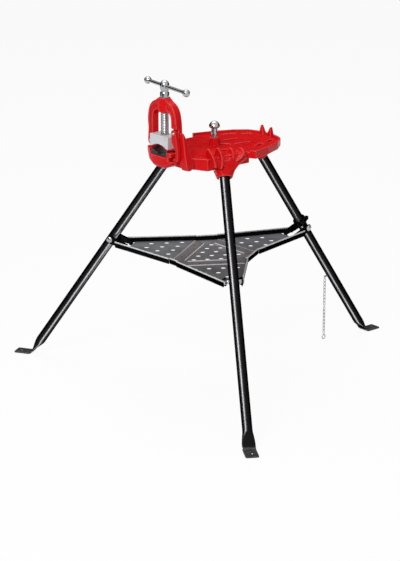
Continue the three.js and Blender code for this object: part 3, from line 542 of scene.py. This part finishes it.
STEEL = bright_steel()
for leg, (azimuth, pivot) in LEGS.items():
    ends = turned([(pivot, -PIN_HALF, PIVOT_HEIGHT), (pivot, PIN_HALF, PIVOT_HEIGHT)], azimuth)
    profile = pin_profile(2 * PIN_HALF, PIN_RADIUS, PIN_CHAMFER, PIN_CHAMFER, PIN_CORE)
    pin = turned_bar(f"{leg}_leg_pin", profile, *ends)
    dress(pin, "base", "bright_steel", STEEL, f"leg_pin_{leg}")

# Lower jaw: a hardened tool-steel block with a toothed V, black from quenching, bright on the
# crests of its teeth, drawn down on the bowl by a hexagon screw from below.
VISE_X = -212.0
JAW_SCREW_X = VISE_X - 2
JAW_SCREW_LOW, JAW_SCREW_HIGH = 742, 790
HEXAGON_SHARP = 25.0


def tool_steel():
    finish, tree, shader, coords = new_finish("tool_steel", 0.85, 0.5)
    scale_marks = noise(tree, coords, 220.0, 5.0)
    dark = ramp(tree, scale_marks, (0.3, (0.030, 0.032, 0.035)), (0.75, (0.085, 0.088, 0.094)))
    edge = tree.nodes.new("ShaderNodeNewGeometry").outputs["Pointiness"]
    crest = ramp(tree, edge, (0.53, grey(0.0)), (0.63, grey(0.8)))
    bright = ramp(tree, scale_marks, (0.0, grey(0.34)), (1.0, grey(0.46)))
    tree.links.new(blend_colours(tree, crest, dark, bright), shader.inputs["Base Color"])
    sheen = ramp(tree, scale_marks, (0.3, grey(0.34)), (0.75, grey(0.52)))
    tree.links.new(sheen, shader.inputs["Roughness"])
    relief(tree, shader, scale_marks, 0.15, 0.0004)
    return finish


def hexagon(radius):
    """Radius of a hexagon at an angle, for rings of a bolt head."""
    def at(angle):
        return radius * math.cos(math.pi / 6) / math.cos((angle % (math.pi / 3)) - math.pi / 6)
    return at


lower_jaw = cast_from("lower_jaw", "lower_jaw_block", grain=0.0007, passes=2)
dress(lower_jaw, "base", "tool_steel", tool_steel(), "lower_jaw")
JAW_SCREW_HEAD = hexagon(7.0)
JAW_SCREW_PROFILE = ((0, 4.0), (0, 5.6), (0.9, JAW_SCREW_HEAD), (5.6, JAW_SCREW_HEAD), (5.7, 4.0),
                     (45.4, 4.0), (46.4, 3.2), (46.4, 1.0))
jaw_screw = turned_bar("lower_jaw_bolt", JAW_SCREW_PROFILE, (JAW_SCREW_X, 0, JAW_SCREW_LOW),
                       (JAW_SCREW_X, 0, JAW_SCREW_HIGH), sharp=HEXAGON_SHARP)
dress(jaw_screw, "base", "bright_steel", STEEL, "lower_jaw_screw")

# Yoke: the cast iron arch over the jaws, red like the deck, hinged on the far side on a steel pin
# and bored and threaded in its crown for the screw.
YOKE_PIN_Y, YOKE_PIN_Z = 57.5, 823
YOKE_PIN_FRONT, YOKE_PIN_BACK = -14.5, 32
YOKE_PIN_RADIUS = 6.0
yoke = cast_from("yoke", "yoke_arch", grain=0.0011, passes=8)
dress(yoke, "yoke", "red_paint", RED, "yoke")
profile = pin_profile(YOKE_PIN_BACK - YOKE_PIN_FRONT, YOKE_PIN_RADIUS,
                      chamfer_run=0.9, chamfer_drop=0.8, core=2.5)
hinge_pin = turned_bar("yoke_pin", profile, (VISE_X + YOKE_PIN_FRONT, YOKE_PIN_Y, YOKE_PIN_Z),
                       (VISE_X + YOKE_PIN_BACK, YOKE_PIN_Y, YOKE_PIN_Z))
dress(hinge_pin, "base", "bright_steel", STEEL, "yoke_hinge_pin")

# Latch: a short red cast bar hung on a steel pin in the near limb of the yoke, with a toe that
# turns in under the keeper of the bowl and locks the arch shut.
LATCH_PIN_Y, LATCH_PIN_Z = -61, 866
LATCH_PIN_FRONT, LATCH_PIN_BACK = -18.5, 12
LATCH_PIN_PROFILE = ((0, 1.5), (0.2, 3.4), (1.4, 4.7), (2.2, 5.0), (30.3, 5.0), (30.5, 2.0))
latch = cast_from("latch", "latch_bar", grain=0.0008, passes=5)
dress(latch, "latch", "red_paint", RED, "latch")
latch_pin = turned_bar("latch_pivot", LATCH_PIN_PROFILE, (VISE_X + LATCH_PIN_FRONT, LATCH_PIN_Y, LATCH_PIN_Z),
                       (VISE_X + LATCH_PIN_BACK, LATCH_PIN_Y, LATCH_PIN_Z))
dress(latch_pin, "yoke", "bright_steel", STEEL, "latch_pin")

# Upper jaw: a forged steel saddle with a hollow underside that the screw pushes down on the pipe,
# left in satin metal.
def jaw_steel():
    finish, tree, shader, coords = new_finish("jaw_steel", 0.25, 0.5)
    cloud = noise(tree, coords, 55.0, 4.0)
    colour = ramp(tree, cloud, (0.25, (0.62, 0.63, 0.64)), (0.8, (0.78, 0.79, 0.80)))
    tree.links.new(colour, shader.inputs["Base Color"])
    sheen = ramp(tree, noise(tree, coords, 240.0), (0.3, grey(0.36)), (0.8, grey(0.54)))
    tree.links.new(sheen, shader.inputs["Roughness"])
    relief(tree, shader, noise(tree, coords, 380.0, 4.0), 0.14, 0.0005)
    return finish


upper_jaw = cast_from("upper_jaw", "jaw_saddle", grain=0.0009, passes=3)
dress(upper_jaw, "jaw", "jaw_steel", jaw_steel(), "upper_jaw")

# Vise screw: a plated steel screw of five threads to the inch with a round head, cross-drilled
# for the handle, its nose held in the upper jaw.
SCREW_RADIUS = 12.5
THREAD_PITCH = 5.08
THREAD_DEPTH = 0.8
THREAD_LOW, THREAD_HIGH = 853, 968
THREAD_FLANK, THREAD_CREST = 2.6, 0.8
ROWS_PER_TURN = 8
SCREW_NOSE = ((842, 4.0), (842, 7.0), (842.8, 7.8), (851.3, 7.8), (851.3, 11.5), (852.3, SCREW_RADIUS))
SCREW_HEAD = (
    (969.8, SCREW_RADIUS), (969.8, 13.8), (970.6, 14.5), (983.2, 14.5), (984, 14.2), (986, 12.6),
    (988, 12.0), (991, 12.4), (994, 13.6), (998, 14.6), (1003, 15.0), (1008, 14.9), (1012, 14.2),
    (1016, 12.6), (1019, 10.4), (1021.2, 7.4), (1022.5, 4.0), (1022.95, 1.2))
SCREW_SHARP = 40.0
HANDLE_ANGLE = math.radians(82.6)
HANDLE_Z = 1005.0
HANDLE_DRILL = 5.9
HANDLE_DRILL_HALF = 40


def thread(radius, depth, pitch, low, high, count=64):
    """Rings of a screw thread between two heights, fading out at both."""
    rows = max(2, int((high - low) / (pitch / ROWS_PER_TURN)))
    rings = []
    for row in range(rows + 1):
        z = low + (high - low) * row / rows
        fade = min(1.0, (z - low) / pitch, (high - z) / pitch)
        ring = []
        for index in range(count):
            angle = 2 * math.pi * index / count
            phase = (z / pitch - index / count) % 1.0
            cut = min(1.0, max(0.0, THREAD_FLANK * abs(phase - 0.5) * 2 - THREAD_CREST))
            size = radius - depth * cut * fade
            ring.append((size * math.cos(angle), size * math.sin(angle), z))
        rings.append(ring)
    return rings


def plain_rings(profile, count=64):
    return [[(r * math.cos(2 * math.pi * i / count), r * math.sin(2 * math.pi * i / count), z)
             for i in range(count)] for z, r in profile]


def moved(rings, x):
    return [[(px + x, py, pz) for px, py, pz in ring] for ring in rings]


screw_rings = plain_rings(SCREW_NOSE)
screw_rings += thread(SCREW_RADIUS, THREAD_DEPTH, THREAD_PITCH, THREAD_LOW, THREAD_HIGH)
screw_rings += plain_rings(SCREW_HEAD)
screw = new_piece("screw_spindle", *skin(moved(screw_rings, VISE_X)), sharp=SCREW_SHARP)
reach = (math.cos(HANDLE_ANGLE) * HANDLE_DRILL_HALF, math.sin(HANDLE_ANGLE) * HANDLE_DRILL_HALF)
handle_drill = round_bar("handle_drill", HANDLE_DRILL, (VISE_X - reach[0], -reach[1], HANDLE_Z),
                         (VISE_X + reach[0], reach[1], HANDLE_Z))
drill(screw, handle_drill, SCREW_SHARP)
dress(screw, "screw", "bright_steel", STEEL, "vise_screw")

# Handle: a plated steel bar that slides through the screw's head, with a ball pressed on each end
# to stop it falling out.
HANDLE_HALF = 113.0
HANDLE_OFFSET = -13.0
BAR_RADIUS = 5.5
BALL_RADIUS = 12.0
BALL_NECK = ((0.0, 4.4), (0.2, 5.9), (0.9, 6.4))
BALL_FROM = 0.22
BALL_STEPS = 20


def on_handle(along):
    out = along + HANDLE_OFFSET
    return (VISE_X + out * math.cos(HANDLE_ANGLE), out * math.sin(HANDLE_ANGLE), HANDLE_Z)


bar_end = HANDLE_HALF - BALL_RADIUS
profile = pin_profile(2 * bar_end, BAR_RADIUS, chamfer_run=0.4, chamfer_drop=0.3, core=2.0)
bar = turned_bar("handle_rod", profile, on_handle(-bar_end), on_handle(bar_end))
dress(bar, "handle", "bright_steel", STEEL, "handle_bar")
for side, label in ((1, "left"), (-1, "right")):
    profile = list(BALL_NECK)
    for step in range(1, BALL_STEPS):
        angle = math.pi * (BALL_FROM + (1 - BALL_FROM) * step / BALL_STEPS)
        profile.append((BALL_RADIUS - BALL_RADIUS * math.cos(angle), BALL_RADIUS * math.sin(angle)))
    knob = turned_bar(f"handle_knob_{label}", profile, on_handle(side * bar_end),
                      on_handle(side * (bar_end + 2 * BALL_RADIUS)))
    dress(knob, "handle", "bright_steel", STEEL, f"handle_ball_{label}")

# Ceiling brace: a plated screw standing in a boss in the middle of the deck, with a loose domed
# cap that bears on the ceiling when the screw is wound up.
BRACE_X = -9.0
BRACE_RADIUS = 9.5
BRACE_PITCH = 3.5
BRACE_DEPTH = 1.1
BRACE_LOW, BRACE_HIGH = 707.5, 818
BRACE_FOOT = ((706, 5.0), (706, 8.3), (707.2, 9.4))
BRACE_NECK = ((819, BRACE_RADIUS), (840, BRACE_RADIUS), (840.7, 9.0), (840.7, 6.6), (848.4, 6.6),
              (848.4, 3.0))
CAP_BOTTOM = 841.0
CAP_PROFILE = (
    (8.0, 3.0), (8.0, 7.0), (0.6, 7.0), (0.0, 7.6), (0.0, 14.4), (0.8, 15.6), (2.6, 17.0), (4.4, 17.9),
    (6.2, 17.9), (7.6, 17.5), (10.4, 16.6), (13.4, 14.9), (16.6, 12.3), (19.0, 9.2), (20.8, 5.6),
    (21.7, 2.4), (21.9, 0.5))
brace_rings = plain_rings(BRACE_FOOT)
brace_rings += thread(BRACE_RADIUS, BRACE_DEPTH, BRACE_PITCH, BRACE_LOW, BRACE_HIGH)
brace_rings += plain_rings(BRACE_NECK)
brace = new_piece("brace_spindle", *skin(moved(brace_rings, BRACE_X)), sharp=SCREW_SHARP)
dress(brace, "brace_screw", "bright_steel", STEEL, "brace_screw")
cap_rings = plain_rings([(CAP_BOTTOM + rise, radius) for rise, radius in CAP_PROFILE])
cap = new_piece("brace_dome", *skin(moved(cap_rings, BRACE_X)), sharp=SCREW_SHARP)
dress(cap, "brace_cap", "bright_steel", STEEL, "brace_cap")

# Tray: three perforated wings and a middle sheet of 2 mm steel, pressed, punched and sprayed dark
# grey. Their outer edges are turned up, enamelled black and rolled over in a bead, whose pale grey
# is a painted highlight.
TRAY_TOP = 417.0
SHEET = 2.0
SHEET_ROUND = 0.3
RIM_HEIGHT = 18.0
RIM_GAP = 0.6
HEM_RADIUS = 2.3
HEM_SEAT = 1.6
HINGE_REACH = 112.0
HINGE_GAP = 3.0
FRONT_CORNER, FAR_CORNER, NEAR_CORNER = 145.0, 129.0, 85.0
FOLD_HALVES = {
    "left": (FAR_CORNER, FRONT_CORNER),
    "near": (FRONT_CORNER, NEAR_CORNER),
    "rear": (NEAR_CORNER, FAR_CORNER),
}
WING_END = 64.0
RIM_END = 20.0
RIM_TIP_HALF = 30.0
LIP_OVERRUN = 2.6
BOLT_HEIGHT = 439.0
HOLE_RADIUS = 8.0
HOLE_SIDES = 24
HOLE_MARGIN = 16.0
HOLE_PITCH = 46.0
HOLES_EACH_WAY = 4
WING_HOLES_FROM, WING_HOLES_SHORT_OF_BOLT = 34, 110
MIDDLE_HOLES_FROM, MIDDLE_HOLES_TO, MIDDLE_ROW_STEP = -95, 60, 38
STRIP_WIDTH = 42.0
STRIP_HOLE_GAP = 12


def tray_paint(name, dark, pale):
    """Cool grey between two levels, rubbed towards bare metal on edges."""
    finish, tree, shader, coords = new_finish(name, 0.0, 0.10)
    cloud = noise(tree, coords, 22.0, 4.0)
    colour = ramp(tree, cloud, (0.25, (dark * 0.94, dark, dark * 1.06)),
                  (0.8, (pale * 0.94, pale, pale * 1.06)))
    edge = tree.nodes.new("ShaderNodeNewGeometry").outputs["Pointiness"]
    rub = ramp(tree, edge, (0.52, grey(0.0)), (0.60, grey(0.5)))
    bare = ramp(tree, cloud, (0.0, grey(0.30)), (1.0, grey(0.42)))
    tree.links.new(blend_colours(tree, rub, colour, bare), shader.inputs["Base Color"])
    sheen = ramp(tree, noise(tree, coords, 120.0), (0.3, grey(0.30)), (0.8, grey(0.46)))
    tree.links.new(sheen, shader.inputs["Roughness"])
    relief(tree, shader, noise(tree, coords, 520.0), 0.06, 0.0004)
    return finish


def painted_highlight_grey():
    # Painted highlight: a pale grey on the tray's rolled beads and knuckles, in place of the bright lines of
    # light along them.
    finish, tree, shader, coords = new_finish("painted_highlight_grey", 0.0, 0.25)
    highlight_cloud = noise(tree, coords, 180.0, 4.0)
    colour = ramp(tree, highlight_cloud, (0.3, grey(0.55)), (0.7, grey(0.82)))
    tree.links.new(colour, shader.inputs["Base Color"])
    sheen = ramp(tree, highlight_cloud, (0.3, grey(0.30)), (0.75, grey(0.45)))
    tree.links.new(sheen, shader.inputs["Roughness"])
    return finish


def circle(x, y):
    angles = [2 * math.pi * k / HOLE_SIDES for k in range(HOLE_SIDES)]
    return [(x + HOLE_RADIUS * math.cos(a), y + HOLE_RADIUS * math.sin(a)) for a in angles]


def punched_sheet(name, outline, holes, azimuth):
    """Flat sheet with round holes, drawn along +X with its top at the tray's height."""
    drawing = bpy.data.curves.new(name, "CURVE")
    drawing.dimensions = "2D"
    drawing.fill_mode = "BOTH"
    drawing.extrude = (SHEET / 2 - SHEET_ROUND) * MM
    drawing.bevel_depth = SHEET_ROUND * MM
    drawing.bevel_resolution = 1
    drawing.offset = -SHEET_ROUND * MM
    for loop in [outline, *(circle(x, y) for x, y in holes)]:
        spline = drawing.splines.new("POLY")
        spline.points.add(len(loop) - 1)
        for point, (x, y) in zip(spline.points, loop):
            point.co = (x * MM, y * MM, 0.0, 1.0)
        spline.use_cyclic_u = True
    sketch = bpy.data.objects.new(name + "_sketch", drawing)
    SCENE.collection.objects.link(sketch)
    bpy.context.view_layer.update()
    made = bpy.data.meshes.new_from_object(sketch.evaluated_get(bpy.context.evaluated_depsgraph_get()))
    bpy.data.objects.remove(sketch)
    lift = Matrix.Translation((AXIS_X * MM, 0, (TRAY_TOP - SHEET / 2) * MM))
    made.transform(lift @ Matrix.Rotation(azimuth, 4, "Z"))
    sheet = bpy.data.objects.new(name, made)
    SCENE.collection.objects.link(sheet)
    tidy_faces(sheet, sharp=30.0)
    return sheet


def hole_rows(inside, start, end, step):
    """Places of holes in staggered rows, where inside(x, y) has room for one."""
    holes = []
    row = 0
    x = start
    while x <= end:
        for index in range(-HOLES_EACH_WAY, HOLES_EACH_WAY + 1):
            y = (index + (row % 2) / 2) * HOLE_PITCH
            if inside(x, y):
                holes.append((x, y))
        row += 1
        x += step
    return holes


def joined(name, pieces):
    """Several meshes as one piece."""
    work = bmesh.new()
    for piece in pieces:
        work.from_mesh(piece.data)
        bpy.data.objects.remove(piece)
    mesh = bpy.data.meshes.new(name)
    work.to_mesh(mesh)
    work.free()
    whole = bpy.data.objects.new(name, mesh)
    SCENE.collection.objects.link(whole)
    return whole


def upright_strip(name, start, end, inward):
    """A turned-up edge between two plan points, sheet thick, drawn in from its outer face."""
    low, high = TRAY_TOP - SHEET, TRAY_TOP + RIM_HEIGHT - HEM_SEAT
    rings = [[(x, y, low), (x, y, high), (x + inward[0] * SHEET, y + inward[1] * SHEET, high),
              (x + inward[0] * SHEET, y + inward[1] * SHEET, low)] for x, y in (start, end)]
    return new_piece(name, *skin(rings), sharp=50.0)


def bead_profile(first, last, radius, ease, tip):
    """A rod that swells from its tip to its full radius over a short ease at both ends."""
    return [(first, tip), (first + ease, radius), (last - ease, radius), (last, tip)]


def hem(name, start, end, inward):
    """The rolled bead along the top of a turned-up edge."""
    height = TRAY_TOP + RIM_HEIGHT - HEM_RADIUS
    spots = [(x + inward[0] * SHEET / 2, y + inward[1] * SHEET / 2, height) for x, y in (start, end)]
    length = (Vector(spots[1]) - Vector(spots[0])).length
    return turned_bar(name, bead_profile(0, length, HEM_RADIUS, ease=0.5, tip=0.8), *spots, count=16)


def turned_plan(points, azimuth):
    return [(x, y) for x, y, _ in turned([(x, y, 0) for x, y in points], azimuth)]


GREY = tray_paint("tray_paint", 0.12, 0.20)
# Pale grey for the beads and knuckles: a painted highlight.
PAINTED_HIGHLIGHT = painted_highlight_grey()
for leg, (azimuth, _) in LEGS.items():
    bolt = leg_reach(leg, BOLT_HEIGHT)
    start, end, rim_end = HINGE_REACH + HINGE_GAP, bolt - WING_END, bolt - RIM_END
    right, left = FOLD_HALVES[leg]

    def half_at(base, x):
        return base + (x - start) / (rim_end - start) * (RIM_TIP_HALF - base)

    def inside_wing(x, y):
        return HOLE_MARGIN - half_at(right, x) < y < half_at(left, x) - HOLE_MARGIN

    outline = [(start, -right), (end, -half_at(right, end)), (end, half_at(left, end)), (start, left)]
    holes = hole_rows(inside_wing, start + WING_HOLES_FROM, bolt - WING_HOLES_SHORT_OF_BOLT, HOLE_PITCH)
    wing = punched_sheet(f"{leg}_wing", outline, holes, azimuth)
    dress(wing, f"wing_{leg}", "tray_sheet", GREY, f"tray_wing_{leg}")
    rims, hems = [], []
    for side, base in ((-1, right), (1, left)):
        first = HINGE_REACH + RIM_GAP
        edge = turned_plan([(first, side * half_at(base, first)), (rim_end, side * RIM_TIP_HALF)], azimuth)
        inward = turned_plan([(0, -side)], azimuth)[0]
        rims.append(upright_strip(f"{leg}_rim", *edge, inward))
        hems.append(hem(f"{leg}_bead", *edge, inward))
    dress(joined(f"{leg}_wing_rims", rims), f"wing_{leg}", "black_paint", BLACK)
    dress(joined(f"{leg}_wing_hems", hems), f"wing_{leg}", "tray_sheet", PAINTED_HIGHLIGHT)

middle_reach = HINGE_REACH - HINGE_GAP
open_reach = HINGE_REACH - STRIP_WIDTH - STRIP_HOLE_GAP


def inside_strips(x, y):
    return all(x * math.cos(a) + y * math.sin(a) < open_reach for a, _ in LEGS.values())


corners = []
for leg in ("rear", "left", "near"):
    right, left = FOLD_HALVES[leg]
    corners += turned_plan([(middle_reach, SHEET - right), (middle_reach, left - SHEET)], LEGS[leg][0])
holes = hole_rows(inside_strips, MIDDLE_HOLES_FROM, MIDDLE_HOLES_TO, MIDDLE_ROW_STEP)
dress(punched_sheet("tray_middle", corners, holes, 0.0), "tray", "tray_sheet", GREY, "tray_centre")
lips, beads = [], []
for first, second in ((1, 2), (3, 4), (5, 0)):
    inward = tuple(-(Vector(corners[first]) + Vector(corners[second])).normalized())
    overrun = (Vector(corners[second]) - Vector(corners[first])).normalized() * LIP_OVERRUN
    edge = (tuple(Vector(corners[first]) - overrun), tuple(Vector(corners[second]) + overrun))
    lips.append(upright_strip("lip", *edge, inward))
    beads.append(hem("bead", *edge, inward))
dress(joined("tray_middle_lips", lips), "tray", "black_paint", BLACK)
dress(joined("tray_middle_hems", beads), "tray", "tray_sheet", PAINTED_HIGHLIGHT)

# Tray hinges: a near-black strip spot-welded on the middle sheet along each fold line, with rolled
# knuckles on the fold and a bead along its inner edge, both in a pale grey that is a painted highlight.
HINGE_BARREL = 2.6
KNUCKLE = 24.0
KNUCKLE_LEAST = 1
KNUCKLE_EASE, KNUCKLE_TIP = 0.5, 2.1
STRIP_INSET = 9.0
STRIP_TAPER = 0.79
STRIP_LIFT, STRIP_TOP = 0.3, 1.4
STRIP_GAP = 0.5
STRIP_BEVEL = 0.3
STRIP_TOP_LENGTH, STRIP_TOP_WIDTH = 0.985, 0.996
STRIP_BEAD = 2.2
BEAD_INSET, BEAD_STOP = 2, 3
WELD_OFFSET = 6
WELD_SINK, WELD_RISE = 0.4, 3
WELD_PROFILE = ((0, 3.6), (0.5, 3.6), (1.1, 2.9), (1.5, 1.8), (1.6, 0.5))
STRIP_PAINT = tray_paint("strip_paint", 0.012, 0.028)
for leg, (azimuth, _) in LEGS.items():
    fold = TRAY_TOP - SHEET / 2
    right, left = STRIP_INSET - FOLD_HALVES[leg][0], FOLD_HALVES[leg][1] - STRIP_INSET
    barrel = []
    spot = 0.0
    while spot < left - right - KNUCKLE_LEAST:
        stop = min(spot + KNUCKLE, left - right)
        barrel += bead_profile(spot, stop, HINGE_BARREL, KNUCKLE_EASE, KNUCKLE_TIP)
        spot = stop
    ends = turned([(HINGE_REACH, right, fold), (HINGE_REACH, left, fold)], azimuth)
    knuckles = turned_bar(f"{leg}_barrel", barrel, *ends, count=20)
    low, high = TRAY_TOP + STRIP_LIFT, TRAY_TOP + STRIP_TOP
    inner, outer = HINGE_REACH - STRIP_WIDTH, HINGE_REACH - STRIP_GAP
    inner_right, inner_left = right * STRIP_TAPER, left * STRIP_TAPER
    bead_ends = turned([(inner + BEAD_INSET, inner_right + BEAD_STOP, high),
                        (inner + BEAD_INSET, inner_left - BEAD_STOP, high)], azimuth)
    bead_length = inner_left - inner_right - 2 * BEAD_STOP
    profile = bead_profile(0, bead_length, STRIP_BEAD, ease=0.4, tip=0.4)
    bead = turned_bar(f"{leg}_strip_bead", profile, *bead_ends, count=16)
    dress(joined(f"{leg}_knuckles", [knuckles, bead]), "tray", "tray_sheet", PAINTED_HIGHLIGHT)
    plan = [(inner, inner_right), (outer, right), (outer, left), (inner, inner_left)]
    middle = HINGE_REACH - STRIP_WIDTH / 2
    rings = [[(x, y, low) for x, y in plan], [(x, y, high - STRIP_BEVEL) for x, y in plan],
             [(middle + (x - middle) * STRIP_TOP_LENGTH, y * STRIP_TOP_WIDTH, high) for x, y in plan]]
    points, faces = skin(rings)
    strip = [new_piece(f"{leg}_strip", turned(points, azimuth), faces, sharp=30.0)]
    for y in (right / 2, 0.0, left / 2):
        ends = turned([(middle + WELD_OFFSET, y, high - WELD_SINK),
                       (middle + WELD_OFFSET, y, high + WELD_RISE)], azimuth)
        strip.append(turned_bar(f"{leg}_weld", WELD_PROFILE, *ends, count=24))
    dress(joined(f"{leg}_hinge_strip", strip), "tray", "tray_sheet", STRIP_PAINT, f"tray_hinge_{leg}")

# Wing brackets: pressed steel forks in black enamel under the wing ends, whose arms stand either
# side of a leg at its bolt.
FLAT_ANGLE = 0.02
EDGE_ANGLE = 40.0


def bevelled_copy(node, name, width):
    """The solid of the same piece with its edges broken."""
    body = solid_copy(node, name, FLAT_ANGLE)
    edges = body.modifiers.new("edges", "BEVEL")
    edges.width = width
    edges.segments = 2
    edges.limit_method = "ANGLE"
    edges.angle_limit = math.radians(EDGE_ANGLE)
    bpy.context.view_layer.update()
    apply_shape(body)
    tidy_faces(body, sharp=EDGE_ANGLE)
    return body


for leg in LEGS:
    fork = bevelled_copy(f"wing_bracket_{leg}", f"{leg}_fork", width=0.0006)
    dress(fork, f"wing_{leg}", "black_paint", BLACK, f"wing_bracket_{leg}")

# Tray bolts and nuts: plated hexagon bolts through the legs with their nuts, and studs with round
# heads that close the holes of the fork arms.
BOLT_HEAD = hexagon(8.0)
BOLT_PROFILE = ((0, 5.0), (0, 6.6), (0.8, BOLT_HEAD), (7.5, BOLT_HEAD), (7.6, 4.5), (46.8, 4.5),
                (47.6, 3.6), (47.6, 1.0))
NUT_PROFILE = ((0, 4.8), (0, BOLT_HEAD), (6.0, BOLT_HEAD), (6.8, 6.6), (6.8, 4.8), (0, 4.8))
STUD_PROFILE = ((0, 2.0), (0, 4.2), (2.6, 4.2), (2.6, 9.6), (4.0, 9.8), (5.4, 8.6), (6.6, 6.4),
                (7.4, 3.4), (7.6, 0.6))
# Where each starts beside the middle of its leg, and a point further along the same line.
BOLT_LINE, NUT_LINE, STUD_LINE = (-23.8, 40), (16.2, 30), (24.8, 40)
for leg, (azimuth, _) in LEGS.items():
    bolt = leg_reach(leg, BOLT_HEIGHT)

    def across(line, side=1):
        return turned([(bolt, side * y, BOLT_HEIGHT) for y in line], azimuth)

    shank = turned_bar(f"{leg}_bolt", BOLT_PROFILE, *across(BOLT_LINE), sharp=HEXAGON_SHARP)
    dress(shank, f"leg_{leg}", "bright_steel", STEEL, f"tray_bolt_{leg}")
    nut = turned_bar(f"{leg}_nut", NUT_PROFILE, *across(NUT_LINE), sharp=HEXAGON_SHARP)
    dress(nut, f"leg_{leg}", "bright_steel", STEEL, f"tray_nut_{leg}")
    studs = [turned_bar(f"{leg}_stud", STUD_PROFILE, *across(STUD_LINE, side)) for side in (-1, 1)]
    dress(joined(f"{leg}_studs", studs), f"wing_{leg}", "bright_steel", STEEL)

# Rear strap: a band of black steel clamped round the rear leg above its tray bolt, its ends pinched
# together in an ear on the outside.
clamp = cast_from("rear_strap", "rear_clamp", grain=0.0008, passes=3)
dress(clamp, "leg_rear", "black_paint", BLACK, "rear_strap")

# Chain: zinc-plated welded links hung from an eye under the rear leg, in two lengths that swing one
# below the other, ending in a ring.
CHAIN_TOP = 236.0
CHAIN_INSET = 34
CHAIN_X = leg_reach("rear", CHAIN_TOP) - CHAIN_INSET
EYE_DROP = 4.5
LINKS = 8
LINK_PITCH = 12.0
LINK_WIRE = 1.25
LINK_HALF = 3.7
LINK_PLAY = 0.6
LINK_STRAIGHT = (LINK_PITCH + 2 * LINK_WIRE - LINK_PLAY) / 2 - LINK_HALF
SIDE_STEEPNESS = 6
LENGTH_GAP = 6
RING_DROP = 12.5
RING_WIRE, RING_HALF = 1.8, 7.0


def zinc_plate():
    finish, tree, shader, coords = new_finish("zinc_plate", 1.0, 0.5)
    spangle = noise(tree, coords, 260.0, 4.0)
    colour = ramp(tree, spangle, (0.3, (0.30, 0.31, 0.33)), (0.75, (0.52, 0.53, 0.55)))
    tree.links.new(colour, shader.inputs["Base Color"])
    sheen = ramp(tree, spangle, (0.3, grey(0.26)), (0.75, grey(0.42)))
    tree.links.new(sheen, shader.inputs["Roughness"])
    relief(tree, shader, spangle, 0.1, 0.0003)
    return finish


def link_mesh(name, z, upright, wire=LINK_WIRE, half=LINK_HALF, straight=LINK_STRAIGHT):
    """A closed loop of wire with straight sides, edge on or face on."""
    around, across = 40, 14
    points = []
    for i in range(around):
        a = 2 * math.pi * i / around
        lift = straight * max(-1.0, min(1.0, math.sin(a) * SIDE_STEEPNESS))
        for j in range(across):
            b = 2 * math.pi * j / across
            flat = (half + wire * math.cos(b)) * math.cos(a)
            up = (half + wire * math.cos(b)) * math.sin(a) + lift
            side = wire * math.sin(b)
            points.append((CHAIN_X + (flat if upright else side), side if upright else flat, z + up))
    faces = []
    for i in range(around):
        for j in range(across):
            p, q = (i + 1) % around, (j + 1) % across
            faces.append((i * across + j, p * across + j, p * across + q, i * across + q))
    return new_piece(name, points, faces, sharp=60.0)


ZINC = zinc_plate()
upper_start = CHAIN_TOP - EYE_DROP
lower_start = upper_start - LINKS * LINK_PITCH - LENGTH_GAP
for top, name, node, body in ((upper_start, "chain_first", "chain_upper", "chain_top"),
                              (lower_start, "chain_second", "chain_lower", "chain_end")):
    links = [link_mesh(f"{name}_{i}", top - (i + 0.5) * LINK_PITCH, i % 2 == 0) for i in range(LINKS)]
    dress(joined(name, links), body, "zinc", ZINC, node)
ring_height = lower_start - LINKS * LINK_PITCH - RING_DROP
ring = link_mesh("chain_ring", ring_height, True, RING_WIRE, RING_HALF, 0.0)
dress(ring, "chain_end", "zinc", ZINC, "chain_hook")
staple = bevelled_copy("chain_eye", "chain_staple", width=0.0004)
dress(staple, "leg_rear", "zinc", ZINC, "chain_eye")

low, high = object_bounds()
